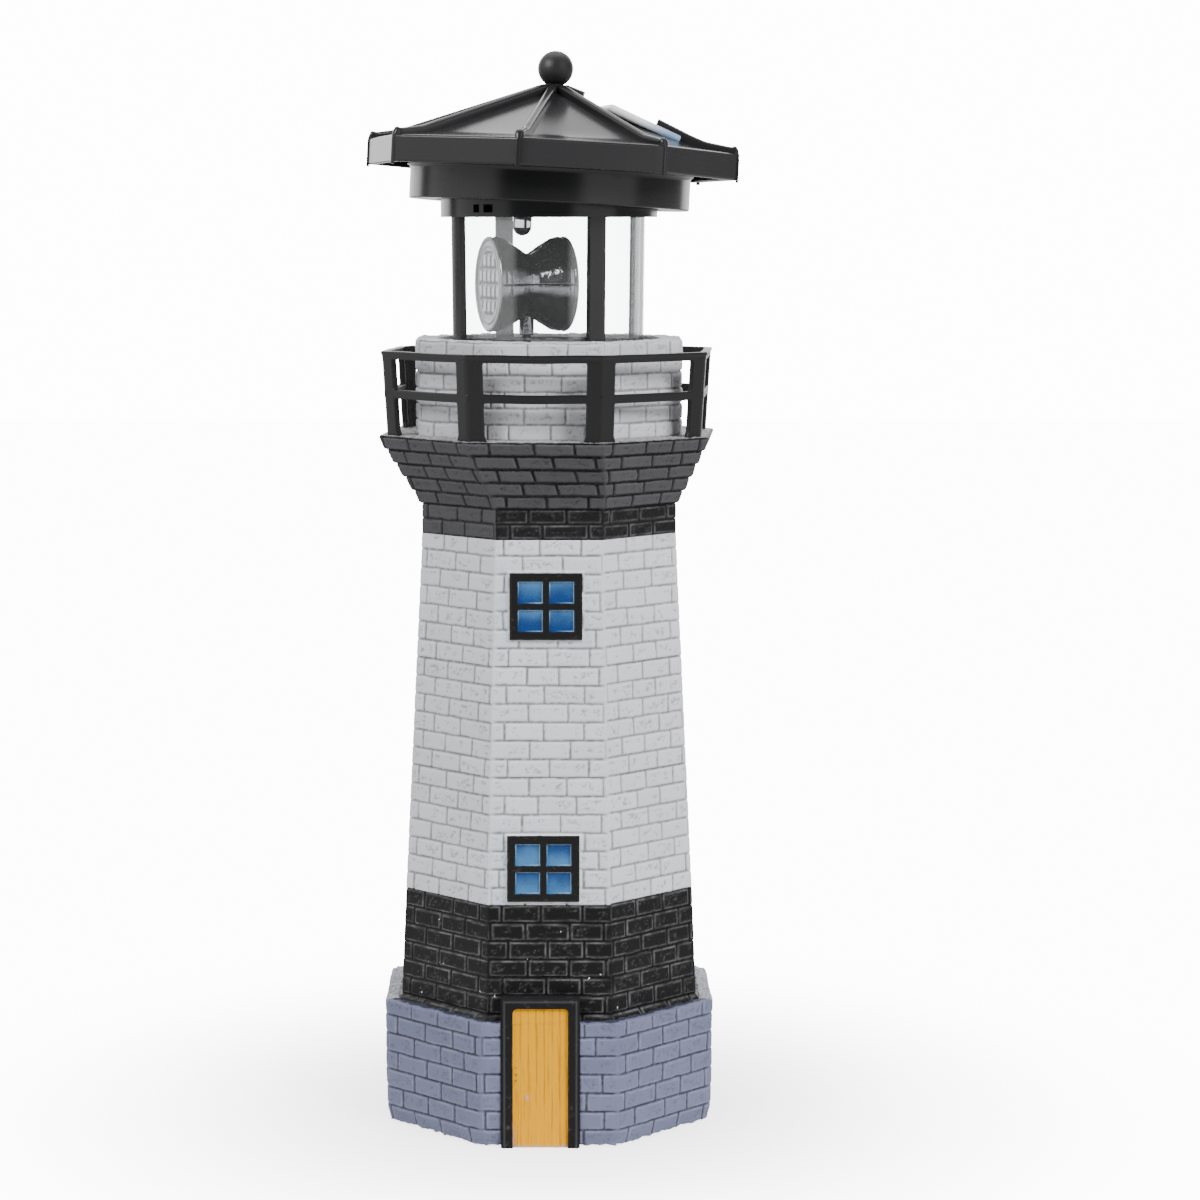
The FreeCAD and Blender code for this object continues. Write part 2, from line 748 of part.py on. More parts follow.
def reflector():
    """Two half shells that meet at the level of the beam, a hub on the lower one and a lens at each end."""
    lower = new_body("lower_reflector", reflector_place())
    revolved(lower, reflector_profile(), 180.0, reversed_turn=True)
    round_pad(lower, "hub_radius", "beam_z - hub_foot - waist_radius + 0.6", "hub_foot - beam_z")
    sketch = sketch_on(lower, "XY_Plane", "hub_foot - beam_z")
    add_circle(sketch, "shaft_radius + 0.02")
    socket = lower.newObject("PartDesign::Pocket", "socket")
    socket.Profile = sketch
    socket.Reversed = True
    bind(socket, Length="3.7")

    upper = new_body("upper_reflector", reflector_place())
    revolved(upper, reflector_profile(), 180.0)
    sketch = sketch_on(upper, "XY_Plane", "2")
    add_circle(sketch, "light_hole")
    window_cut = upper.newObject("PartDesign::Pocket", "light_hole")
    window_cut.Profile = sketch
    window_cut.Reversed = True
    bind(window_cut, Length="rim_radius")

    for label, side in (("beam_lens_left", -1), ("beam_lens_right", 1)):
        inner_face = "beam_half - rim_width + 0.4"
        along = inner_face if side > 0 else f"-({inner_face}) - lens_thick"
        disc = new_body(label, reflector_place())
        sketch = sketch_on(disc, "YZ_Plane", along)
        add_circle(sketch, "rim_radius - shell_wall - slip_gap")
        pad(disc, sketch, "lens_thick")


# ---------------------------------------------------------------- solar roof


def cap_place():
    """Where the roof sits: turned to its corner, then leaning right and nodding back, on the ring's edge."""
    lean = Rotation(Vector(0, 1, 0), size("cap_lean"))
    nod = Rotation(Vector(1, 0, 0), -size("cap_nod"))
    return Placement(Vector(0, 0, size("cap_z")), lean.multiply(nod))


def roof_place():
    return cap_place().multiply(Placement(Vector(), Rotation(Vector(0, 0, 1), size("cap_yaw"))))


POCKET = "(ring_top - cap_z + ring_radius * tan(sqrt(cap_lean ^ 2 + cap_nod ^ 2) * 1 deg) + slip_gap)"
DECK = f"({POCKET} + drum_floor)"
CAP_BOSSES = (0, 130, 225)


def deck_height():
    lean = math.radians(math.hypot(size("cap_lean"), size("cap_nod")))
    pocket = size("ring_top") - size("cap_z") + size("ring_radius") * math.tan(lean) + size("slip_gap")
    return pocket + size("drum_floor")


def battery_drum():
    """A cup with a shallow round pocket underneath that drops over the lantern's ring."""
    wall = fuse(
        cylinder("drum_radius", "drum_top"),
        cylinder("drum_radius + drum_step", "drum_top - drum_step_z", z="drum_step_z"),
    )
    room = cylinder("drum_radius - drum_wall", "drum_top", z="drum_floor")
    pocket_wall = cylinder("pocket_radius + drum_floor", DECK)
    pocket = cylinder("pocket_radius", f"{POCKET} + 1", z="-1")
    holes = [cylinder("holder_radius + slip_gap / 2", "drum_floor + 2", x="led_x", z=f"{POCKET} - 1")]
    for degrees in CAP_BOSSES:
        x, y = polar(size("cap_boss_circle"), degrees)
        holes.append(cylinder("1.2", "drum_floor + 2", x=x, y=y, z=f"{POCKET} - 1"))
    slot = centred_box("switch_travel + 2.6", "1.8", "drum_floor + 2", x="switch_x", y="switch_y", z=f"{POCKET} - 1")
    shell = fuse(cut(wall, room), pocket_wall)
    keep(cut(shell, pocket, slot, *holes), "battery_drum", cap_place())


def hip_points(drop=0.0):
    """The roof's corner line from apex to eave, as (radius, height), lowered by drop."""
    eave, top = size("eave_radius"), size("fascia_top")
    return [
        (size("apex_radius"), size("apex_z") - drop),
        (size("knee_radius"), top + size("knee_rise") - drop),
        (size("flare_radius"), top + size("flare_rise") - drop),
        (eave, top - drop),
    ]


def roof_solid(inset):
    """The roof's outer form, or with an inset the room under it, as a solid of octagons."""
    cosine = "cos(22.5 deg)"
    low = f"fascia_low - {inset}"
    flat = f"(eave_radius * {cosine} - {inset})"
    return octagon_loft([
        (flat, low, "0"),
        (flat, f"fascia_top - {inset}", "0"),
        (f"flare_radius * {cosine} - {inset} / 3", f"fascia_top + flare_rise - {inset}", "0"),
        (f"knee_radius * {cosine} - {inset} / 3", f"fascia_top + knee_rise - {inset}", "0"),
        (f"apex_radius * {cosine}", f"apex_z - {inset}", "0"),
    ], corner=0)


def rib_shape():
    """One hip rib: a thin upright plate along the corner line that turns down over the fascia."""
    crest = hip_points(-size("rib_height"))
    eave = size("eave_radius")
    top = size("fascia_top")
    crest[0] = (2.0, size("ball_z") - size("ball_radius"))
    crest[-1] = (eave - 1.2, top + size("rib_eave_height"))
    outside = [(eave + size("rib_proud"), top + size("rib_eave_height") - 0.5), (eave + size("rib_proud"), size("fascia_low") - 0.6)]
    inside = [(eave - 1.0, size("fascia_low") - 0.6), (eave - 1.0, top - 1.0)]
    belly = [(radius, height) for radius, height in reversed(hip_points(1.0))][1:]
    belly[-1] = (2.0, belly[-1][1])
    outline = [Vector(radius, 0, height) for radius, height in crest + outside + inside + belly]
    plate = Part.Face(Part.makePolygon(outline + outline[:1])).extrude(Vector(0, size("rib_width"), 0))
    plate.translate(Vector(0, -size("rib_width") / 2, 0))
    return plate


FACET = math.cos(math.radians(22.5))


def facet_slope():
    """Fall of a facet's plane for each unit out along the facet's middle."""
    fall = size("apex_z") - size("fascia_top") - size("knee_rise")
    return fall / (size("knee_radius") - size("apex_radius")) / FACET


def facet_height(radius):
    """Height of the plane of the roof's facets at this distance out along a facet's middle."""
    return size("apex_z") - (radius - size("apex_radius") * FACET) * facet_slope()


def panel_lead_spots():
    """Where the panel's two wires leave its underside, as (x, y, height) in the roof's level frame."""
    middle = math.radians(size("cap_yaw") + 22.5)
    spots = []
    for x, y in ((18.2, 3.2), (20.6, 6.2)):
        out = x * math.cos(middle) + y * math.sin(middle)
        underside = facet_height(out) - size("panel_sunk") * math.hypot(1, facet_slope())
        spots.append((x, y, underside - facet_slope() * size("wire_radius") - 0.05))
    return spots


def panel_box(grow, low, high):
    """A box on the panel's facet: grown all round, from low to high above the facet's plane."""
    length, width = size("panel_length") + 2 * grow, size("panel_width") + 2 * grow
    block = Part.makeBox(length, width, high - low, Vector(-length / 2, -width / 2, low))
    middle = size("panel_middle")
    block.rotate(Vector(), Vector(0, 1, 0), math.degrees(math.atan(facet_slope())))
    block.translate(Vector(middle, 0, facet_height(middle)))
    block.rotate(Vector(), Vector(0, 0, 1), 22.5)
    return block


def helper_solid(shape, name):
    obj = doc.addObject("Part::Feature", name)
    obj.Shape = shape
    return obj


def roof_shell():
    outer = roof_solid("0")
    inner = roof_solid("roof_wall")
    turns = [Placement(Vector(), Rotation(Vector(0, 0, 1), 45 * rib)) for rib in range(8)]
    plates = [rib_shape().transformed(turn.toMatrix(), True) for turn in turns]
    ribs = helper_solid(plates[0].multiFuse(plates[1:]), "ribs")
    hub = cylinder("apex_radius + 0.3", "ball_z - ball_radius - apex_z + 2", z="apex_z - 2")
    bosses = []
    for degrees in CAP_BOSSES:
        x, y = polar(size("cap_boss_circle"), degrees - size("cap_yaw"))
        bosses.append(cylinder("cap_boss_radius", "apex_z", x=x, y=y, z=DECK))
    locating = ring("drum_radius - drum_wall - part_gap", "drum_radius - drum_wall - part_gap - 1.2",
                    "apex_z", "drum_top - 2.5")
    filled = roof_solid("0")
    inside = common(fuse(*bosses, locating), filled)
    tray = common(helper_solid(panel_box(0.8, -2.2, 0.5), "tray"), filled)
    pilots = []
    for degrees in CAP_BOSSES:
        x, y = polar(size("cap_boss_circle"), degrees - size("cap_yaw"))
        pilots.append(cylinder("1.02", "9", x=x, y=y, z=f"{DECK} - 0.5"))
    stem_hole = cylinder("ball_stem", "12", z="ball_z - ball_radius - 7")
    for x, y, _ in panel_lead_spots():
        spot = Rotation(Vector(0, 0, 1), -size("cap_yaw")).multVec(Vector(x, y, 0))
        pilots.append(cylinder("wire_radius + 0.5", "drum_top", x=spot.x, y=spot.y, z="drum_top"))
    seat = helper_solid(panel_box(size("slip_gap"), -size("panel_sunk"), 9.0), "panel_seat")
    whole = fuse(cut(outer, inner), ribs, hub, inside, tray)
    keep(cut(whole, seat, stem_hole, *pilots), "roof_shell", roof_place())


def ball_finial():
    ball = doc.addObject("Part::Sphere", "sphere")
    bind(ball, Radius="ball_radius")
    place(ball, z="ball_z")
    flat = cylinder("ball_stem + 0.8", "1.2", z="ball_z - ball_radius")
    stem = cylinder("ball_stem - running_gap", "6.2", z="ball_z - ball_radius - 6")
    keep(fuse(ball, flat, stem), "ball_finial", cap_place())


def solar_panel():
    sunk = size("panel_sunk")
    solid_of(panel_box(0.0, -sunk, size("panel_thick") - sunk), "solar_panel", roof_place())


def cap_screws():
    screw = screw_shape(1.0, 7.5, 2.0, 1.3)
    height = deck_height() - size("drum_floor")
    places = []
    for degrees in CAP_BOSSES:
        x, y = polar(size("cap_boss_circle"), degrees)
        places.append(upright(x, y, height, flipped=True))
    solid_of(copies(screw, places), "cap_screws", cap_place())


def lamp_led():
    """A round lamp that points down: dome, straight body and flange, turned about its own axis."""
    radius, length, flange = size("led_radius"), size("led_length"), size("led_flange")
    straight = Part.makeCylinder(radius, length - radius, Vector(0, 0, radius - length))
    dome = Part.makeSphere(radius, Vector(0, 0, radius - length))
    lamp = straight.fuse(dome).fuse(Part.makeCylinder(flange, 1.0, Vector(0, 0, -1.0)))
    x = size("led_x")
    holder_top = deck_height() + 0.8
    low = -size("led_length") * 0.28
    holder = Part.makeCylinder(size("holder_radius"), holder_top - low, Vector(0, 0, low))
    holder = holder.fuse(Part.makeCylinder(size("holder_radius") + 1.0, 0.8, Vector(0, 0, deck_height())))
    holder = holder.cut(Part.makeCylinder(radius + size("slip_gap"), 3.0, Vector(0, 0, low - 1)))
    holder = holder.cut(Part.makeCylinder(flange + size("slip_gap"), 20.0, Vector(0, 0, -1.0)))
    spot = cap_place().multiply(Placement(Vector(x, 0, 0), Rotation()))
    solid_of(lamp.removeSplitter(), "lamp_led", spot)
    solid_of(holder.removeSplitter(), "led_holder", spot)


def cell_frame():
    """The cell lies along X; this is the middle of its axis in the roof's frame."""
    lift = deck_height() + size("tray_wall") + size("cell_radius")
    return Vector(0, size("cell_y"), lift)


def battery():
    radius, length, wall = size("cell_radius"), size("cell_length"), size("tray_wall")
    middle = cell_frame()
    along = Vector(1, 0, 0)
    start = middle + Vector(-length / 2, 0, 0)
    cell = Part.makeCylinder(radius, length - 0.9, start, along)
    cell = cell.fuse(Part.makeCylinder(1.9, 0.9, middle + Vector(length / 2 - 0.9, 0, 0), along))
    solid_of(cell, "battery_cell", cap_place())
    left = -length / 2 - size("spring_room") - 0.4
    right = length / 2 + 0.4
    deck = deck_height()
    width = 2 * (radius + 0.2 + wall)
    tray = Part.makeBox(right - left + 2 * wall, width, wall + radius, Vector(left - wall, middle.y - width / 2, deck))
    room = Part.makeBox(right - left, 2 * (radius + 0.2), 2 * radius, Vector(left, middle.y - radius - 0.2, deck + wall))
    solid_of(tray.cut(room), "battery_tray", cap_place())
    tab = Part.makeBox(0.3, 7.0, 2 * radius - 1, Vector(right - 0.35, middle.y - 3.5, deck + wall + 0.1))
    solid_of(tab, "contact_plate", cap_place())
    backing = Part.makeBox(0.3, 7.0, 2 * radius - 1, Vector(left + 0.05, middle.y - 3.5, deck + wall + 0.1))
    wire = size("spring_wire")
    pitch, coil = 0.75, 2.6
    helix = Part.makeHelix(pitch, 3 * pitch, coil)
    section = Part.Wire(Part.makeCircle(wire / 2, Vector(coil, 0, 0), Vector(0, 1, 0)))
    spring = Part.Wire(helix).makePipeShell([section], True, True)
    spring.rotate(Vector(), Vector(0, 1, 0), 90)
    spring.translate(Vector(left + 0.35 + wire / 2 - 0.05, middle.y, middle.z))
    solid_of(backing.fuse(spring), "contact_spring", cap_place())


def board():
    """The circuit board on two pillars of the drum, with its coil, chip and capacitor."""
    length, width, thick = size("board_length"), size("board_width"), size("board_thick")
    x, y = size("board_x"), size("board_y")
    low = deck_height() + size("board_lift")
    plate = Part.makeBox(length, width, thick, Vector(x - length / 2, y - width / 2, low))
    parts = [
        Part.makeCylinder(2.6, 3.4, Vector(x - 6.0, y + 2.0, low + thick)),
        Part.makeBox(5.0, 4.0, 1.5, Vector(x, y - 1.0, low + thick)),
        Part.makeCylinder(2.0, 4.2, Vector(x + 7.5, y + 3.0, low + thick)),
    ]
    for part in parts:
        plate = plate.fuse(part)
    pillars, places = [], []
    for sign in (-1, 1):
        spot = Vector(x + sign * (length / 2 - 2.2), y - width / 2 + 2.2, 0)
        plate = plate.cut(Part.makeCylinder(1.1, 9, spot + Vector(0, 0, low - 1)))
        pillar = Part.makeCylinder(1.9, size("board_lift"), spot + Vector(0, 0, deck_height()))
        pillars.append(pillar.cut(Part.makeCylinder(0.9, 9, spot + Vector(0, 0, deck_height() + 0.5))))
        places.append(upright(spot.x, spot.y, low + thick))
    solid_of(plate, "circuit_board", cap_place())
    solid_of(Part.makeCompound(pillars), "board_spacers", cap_place())
    solid_of(copies(screw_shape(0.9, 3.9, 1.7, 1.0), places), "board_screws", cap_place())


def switch():
    """A slide switch on the deck whose knob reaches down through a slot into the pocket."""
    x, y, deck = size("switch_x"), size("switch_y"), deck_height()
    travel = size("switch_travel")
    case = Part.makeBox(8.6, 3.8, 3.6, Vector(x - 4.3, y - 1.9, deck))
    channel = Part.makeBox(travel + 2.6, 1.8, 2.4, Vector(x - travel / 2 - 1.3, y - 0.9, deck - 1))
    solid_of(case.cut(channel), "switch_body", cap_place())
    low = deck - size("drum_floor") - 1.6
    knob = Part.makeBox(2.0, 1.4, deck + 1.2 - low, Vector(x - travel / 2 - 1.0, y - 0.7, low))
    solid_of(knob, "switch_slider", cap_place())


def wire_tube(points):
    """A round lead through these points: straight runs joined by tangent arcs."""
    radius = size("wire_radius")
    corners = [Vector(*point) for point in points]
    edges, start = [], corners[0]
    for before, corner, after in zip(corners, corners[1:], corners[2:]):
        into, away = corner - before, after - corner
        run = min(into.Length, away.Length)
        turn = into.getAngle(away)
        bend = 0.45 * run / math.tan(turn / 2)
        back = 0.45 * run
        enter = corner - into.normalize() * back
        leave = corner + away.normalize() * back
        inward = (enter + leave) * 0.5 - corner
        reach = math.hypot(bend, back)
        middle = corner + inward.normalize() * (reach - bend)
        edges.append(Part.LineSegment(start, enter).toShape())
        edges.append(Part.Arc(enter, middle, leave).toShape())
        start = leave
    edges.append(Part.LineSegment(start, corners[-1]).toShape())
    spine = Part.Wire(edges)
    heading = (corners[1] - corners[0]).normalize()
    section = Part.Wire(Part.makeCircle(radius, corners[0], heading))
    return spine.makePipeShell([section], True, False)


def leads():
    """Short wires inside the drum, two to a node: lamp, cell and panel to the board."""
    deck = deck_height()
    board_top = deck + size("board_lift") + size("board_thick")
    row = size("board_y") - 4.6
    left = size("board_x") - size("board_length") / 2
    lamp, half = size("led_x"), size("cell_length") / 2
    over = board_top + 4.2
    lamp_wires = []
    for side in (-1, 1):
        pad_x = left + 5.9 + 1.5 * side
        lamp_wires.append(wire_tube([
            (lamp + 1.27 * side, 0, 0.05), (lamp + 1.27 * side, 0, over), (pad_x, row + 1.6, over),
            (pad_x, row + 1.6, board_top),
        ]))
    solid_of(Part.makeCompound(lamp_wires), "led_leads", cap_place())
    edge = size("cell_y") + 3.5
    high = over + 0.5
    from_plate = wire_tube([
        (half + 0.2, edge, high), (half + 0.2, -11.0, high), (10.0, -3.0, high), (10.0, row, high),
        (10.0, row, board_top),
    ])
    from_spring = wire_tube([
        (-half - 3.2, edge, high), (-15.5, -5.0, high), (2.0, -5.0, high), (6.0, 1.0, high), (6.0, row, high),
        (6.0, row, board_top),
    ])
    solid_of(Part.makeCompound([from_plate, from_spring]), "battery_leads", cap_place())
    panel_wires = []
    for (x, y, top), pad_x, level in zip(panel_lead_spots(), (14.9, 12.6), (high + 0.6, high + 2.8)):
        panel_wires.append(wire_tube([(x, y, top), (x, y, level), (pad_x, row, level), (pad_x, row, board_top)]))
    solid_of(Part.makeCompound(panel_wires), "panel_leads", cap_place())


def write_nodes():
    doc.recompute()
    failed = [obj.Name for obj in doc.Objects if {"Invalid", "Error"} & set(obj.State)]
    if failed:
        raise RuntimeError(f"objects that failed: {failed}")
    for obj in nodes:
        if obj.Shape.isNull() or not obj.Shape.isValid() or not obj.Shape.Solids:
            raise RuntimeError(f"{obj.Label} has no sound solid")
    os.makedirs("parts", exist_ok=True)
    for obj in nodes:
        obj.Shape.exportStep(f"parts/{obj.Label}.step")
        print(f"{obj.Label}: {len(obj.Shape.Solids)} solids, {obj.Shape.Volume:.1f} mm3")


tower_casting()
base_plate()
gallery_railing()
lantern_floor()
shaft_bushing()
clear_tube()
cage_frame()
gear_train()
gear_plate()
gear_housing()
motor()
housing_screws()
reflector()
battery_drum()
roof_shell()
ball_finial()
solar_panel()
cap_screws()
lamp_led()
battery()
board()
switch()
leads()
write_nodes()
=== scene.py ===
import math

import bmesh
import bpy
import numpy as np
from bpy.props import FloatProperty, FloatVectorProperty, IntProperty, PointerProperty
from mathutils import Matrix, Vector


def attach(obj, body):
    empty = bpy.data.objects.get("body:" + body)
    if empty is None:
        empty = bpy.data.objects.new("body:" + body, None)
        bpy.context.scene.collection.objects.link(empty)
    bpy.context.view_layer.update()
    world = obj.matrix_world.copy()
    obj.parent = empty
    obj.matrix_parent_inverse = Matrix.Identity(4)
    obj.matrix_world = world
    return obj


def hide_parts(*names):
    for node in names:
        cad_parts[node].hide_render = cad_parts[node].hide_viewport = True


bl_info = {
    "name": "Solar garden lighthouse",
    "version": (1, 0, 0),
    "blender": (4, 5, 0),
    "location": "3D View > Sidebar > Lighthouse",
    "description": "Builds the painted tower, railing, lantern, turning reflector and solar roof",
    "category": "Object",
}

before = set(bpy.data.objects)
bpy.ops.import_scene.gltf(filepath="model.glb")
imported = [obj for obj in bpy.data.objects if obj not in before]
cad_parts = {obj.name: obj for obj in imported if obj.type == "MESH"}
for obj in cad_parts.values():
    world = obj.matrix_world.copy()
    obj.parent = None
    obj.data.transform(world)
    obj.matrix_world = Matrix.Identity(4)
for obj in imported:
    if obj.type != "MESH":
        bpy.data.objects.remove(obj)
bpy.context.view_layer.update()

# Lengths in this file are millimetres, and become metres when a mesh is made.
MM = 0.001
EIGHTH = math.pi / 4
HALF_EIGHTH = math.pi / 8
FLAT = math.cos(HALF_EIGHTH)


# ---------------------------------------------------------------- numbers on arrays


def scatter(*keys):
    """Repeatable random numbers from 0 to 1: the fraction left of a large sine of the whole-number keys."""
    total = sum(key * weight for key, weight in zip(keys, (12.9898, 78.233, 37.719, 151.7182)))
    return np.modf(np.abs(np.sin(total) * 43758.5453))[0]


def smooth(value):
    """Nought to one with no corner at either end: 3 t squared less 2 t cubed of the clipped value."""
    t = np.clip(value, 0.0, 1.0)
    return t * t * (3.0 - 2.0 * t)


def mottle(x, y, seed=0, octaves=1):
    """Smooth noise from -1 to 1: random numbers at whole-number places, blended across each cell,
    with each further octave twice as fine and half as strong."""
    total, strength = 0.0, 1.0
    for octave in range(octaves):
        u, v = x * 2**octave, y * 2**octave
        column, row = np.floor(u), np.floor(v)
        across, up = smooth(u - column), smooth(v - row)
        key = seed + 17 * octave
        low = scatter(column, row, key) * (1 - across) + scatter(column + 1, row, key) * across
        high = scatter(column, row + 1, key) * (1 - across) + scatter(column + 1, row + 1, key) * across
        total = total + strength * (2 * (low * (1 - up) + high * up) - 1)
        strength /= 2
    return total / (2 - 2 * strength)


def direction(angle):
    """Unit vectors in the XY plane at these angles."""
    return np.stack([np.cos(angle), np.sin(angle)], axis=-1)


def filleted(points, radius, steps=4):
    """Closed outlines with each corner replaced by a parabola that touches both sides: the corner is the
    middle control point, and its neighbours lie one radius away, or nearer where a side is short. One more
    point on each straight side keeps the shading of the flats even."""
    corner = np.asarray(points, float)
    radius = np.broadcast_to(np.asarray(radius, float), corner.shape[-2])[:, None]
    sides = []
    for shift in (1, -1):
        side = np.roll(corner, shift, axis=-2) - corner
        reach = np.linalg.norm(side, axis=-1, keepdims=True)
        for share, limit in ((1, 0.44), (1.2, 0.48)):
            sides.append(side / reach * np.minimum(radius * share, limit * reach))
    enter, before, leave, after = (corner + side for side in sides)
    t = np.linspace(0.0, 1.0, steps + 1)[:, None]
    enter, middle, leave = enter[..., None, :], corner[..., None, :], leave[..., None, :]
    curve = (1 - t) ** 2 * enter + 2 * t * (1 - t) * middle + t**2 * leave
    curve = np.concatenate([before[..., None, :], curve, after[..., None, :]], axis=-2)
    return curve.reshape(*corner.shape[:-2], -1, corner.shape[-1])


def along(knots, count):
    """Points at even distances along a line of knots."""
    knots = np.asarray(knots, float)
    place = np.concatenate([[0.0], np.cumsum(np.linalg.norm(np.diff(knots, axis=0), axis=1))])
    even = np.linspace(0.0, place[-1], count)
    return np.stack([np.interp(even, place, knots[:, axis]) for axis in range(knots.shape[1])], axis=-1)


# ---------------------------------------------------------------- meshes


class Skin:
    """Gathers grids of points into one mesh. A grid is rows by columns by three, in millimetres."""

    def __init__(self):
        self.points, self.faces, self.values, self.count = [], [], {}, 0

    def grid(self, points, round_rows=False, round_columns=False, flip=False, **values):
        """Add a grid; a round direction joins its last line to its first. Values are one number a point."""
        rows, columns = points.shape[:2]
        number = np.arange(rows * columns).reshape(rows, columns)
        if round_rows:
            number = np.concatenate([number, number[:1]], axis=0)
        if round_columns:
            number = np.concatenate([number, number[:, :1]], axis=1)
        quads = np.stack([number[:-1, :-1], number[:-1, 1:], number[1:, 1:], number[1:, :-1]], axis=-1)
        quads = quads.reshape(-1, 4)[:, ::-1] if flip else quads.reshape(-1, 4)
        self.points.append(points.reshape(-1, 3))
        self.faces.append(quads + self.count)
        for name, value in values.items():
            flat = np.broadcast_to(value, (rows, columns)).reshape(-1)
            self.values.setdefault(name, []).append(flat)
        self.count += rows * columns

    def piece(self, name, finish, body, slot, *nodes, place=None, merge=False, sharp=None):
        """Make the object: place is a 4 by 4 matrix in millimetres, merge closes poles, sharp is the angle
        in degrees past which an edge shows as a crease, and nodes are the CAD nodes it stands for."""
        points, faces = np.concatenate(self.points), np.concatenate(self.faces)
        if place is not None:
            points = points @ place[:3, :3].T + place[:3, 3]
        mesh = bpy.data.meshes.new(name)
        mesh.vertices.add(len(points))
        mesh.vertices.foreach_set("co", (points * MM).astype(np.float32).ravel())
        mesh.loops.add(faces.size)
        mesh.loops.foreach_set("vertex_index", faces.astype(np.int32).ravel())
        mesh.polygons.add(len(faces))
        mesh.polygons.foreach_set("loop_start", np.arange(0, faces.size, 4, dtype=np.int32))
        for attribute, value in self.values.items():
            layer = mesh.attributes.new(attribute, "FLOAT", "POINT")
            layer.data.foreach_set("value", np.concatenate(value).astype(np.float32))
        mesh.update(calc_edges=True)
        if merge:
            work = bmesh.new()
            work.from_mesh(mesh)
            bmesh.ops.remove_doubles(work, verts=work.verts, dist=1e-6)
            bmesh.ops.dissolve_degenerate(work, edges=work.edges, dist=1e-7)
            work.to_mesh(mesh)
            work.free()
        mesh.polygons.foreach_set("use_smooth", np.ones(len(mesh.polygons), dtype=bool))
        if sharp is not None:
            mesh.set_sharp_from_angle(angle=math.radians(sharp))
        mesh.validate()
        obj = bpy.data.objects.new(name, mesh)
        bpy.context.scene.collection.objects.link(obj)
        mesh.materials.append(finish)
        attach(obj, body)
        if nodes:
            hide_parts(*nodes)
        return obj


def lathe(profile, columns=96, centre=(0.0, 0.0)):
    """A profile of (radius, height) turned about the vertical through centre."""
    profile = np.asarray(profile, float)
    spin = direction(np.linspace(0, 2 * math.pi, columns, endpoint=False))
    flat = profile[:, None, :1] * spin[None] + np.asarray(centre)
    height = np.broadcast_to(profile[:, None, 1:], (len(profile), columns, 1))
    return np.concatenate([flat, height], axis=-1)


def octagon_columns(flat_steps, bend_steps):
    """Columns round an octagon: facet number, place across the flat from -1 to 1, turn round the corner."""
    flat = np.linspace(-1.0, 1.0, flat_steps + 1)
    bend = np.linspace(0.0, HALF_EIGHTH, bend_steps + 1)[1:]
    across = np.concatenate([-np.ones(bend_steps - 1), flat, np.ones(bend_steps)])
    turn = np.concatenate([-bend[::-1][1:], np.zeros(flat_steps + 1), bend])
    facet = np.repeat(np.arange(8), len(across))
    return facet, np.tile(across, 8), np.tile(turn, 8)


def octagon(columns, half, height, corner=0.6, turn=0.0, lift=0.0):
    """Points round an octagon for each row: out to half less the corner radius along the facet's normal,
    along the flat, then one corner radius plus the lift in the direction of the column's own normal."""
    facet, across, bend = columns
    half, height, turn, corner = (np.broadcast_to(np.asarray(v, float).reshape(-1, 1), (np.size(half), 1))
                                  for v in (half, height, turn, corner))
    facing = facet * EIGHTH - math.pi / 2 + turn
    run = (half - corner) * math.tan(HALF_EIGHTH) * across
    flat = direction(facing) * (half - corner)[..., None] + direction(facing + math.pi / 2) * run[..., None]
    flat = flat + direction(facing + bend) * (corner + lift * np.ones_like(run))[..., None]
    return np.concatenate([flat, np.broadcast_to(height[..., None], flat.shape[:2] + (1,))], axis=-1)


def facet_place(columns, half, corner):
    """Distance of each column from the middle of its facet, measured round the corner too."""
    _, across, bend = columns
    return (np.reshape(half, (-1, 1)) - corner) * math.tan(HALF_EIGHTH) * across + corner * bend


def turned(matrix_axis, angle):
    """A 4 by 4 turn about X, Y or Z, given as 0, 1 or 2."""
    place = np.eye(4)
    a, b = (matrix_axis + 1) % 3, (matrix_axis + 2) % 3
    place[a, a] = place[b, b] = math.cos(angle)
    place[a, b], place[b, a] = -math.sin(angle), math.sin(angle)
    return place


def shifted(x, y, z):
    """A 4 by 4 move, in millimetres."""
    place = np.eye(4)
    place[:3, 3] = (x, y, z)
    return place


# ---------------------------------------------------------------- shader terms


class Term:
    """A socket of a node tree. Arithmetic on it adds Math nodes."""

    def __init__(self, finish, socket):
        self.finish, self.socket = finish, socket

    def math(self, operation, *others):
        return self.finish.add("ShaderNodeMath", {"operation": operation}, [self, *others])

    def __add__(self, other):
        return self.math("ADD", other)

    def __sub__(self, other):
        return self.math("SUBTRACT", other)

    def __rsub__(self, other):
        return self.finish.add("ShaderNodeMath", {"operation": "SUBTRACT"}, [other, self])

    def __mul__(self, other):
        return self.math("MULTIPLY", other)

    def __truediv__(self, other):
        return self.math("DIVIDE", other)

    def __pow__(self, other):
        return self.math("POWER", other)

    __radd__, __rmul__ = __add__, __mul__

    def most(self, other):
        return self.math("MAXIMUM", other)

    def least(self, other):
        return self.math("MINIMUM", other)

    def rise(self, low, high):
        """Nought below low and one above high, smooth between; high may be the lower number."""
        return self.finish.add("ShaderNodeMapRange", {"interpolation_type": "SMOOTHSTEP"}, [self, low, high])


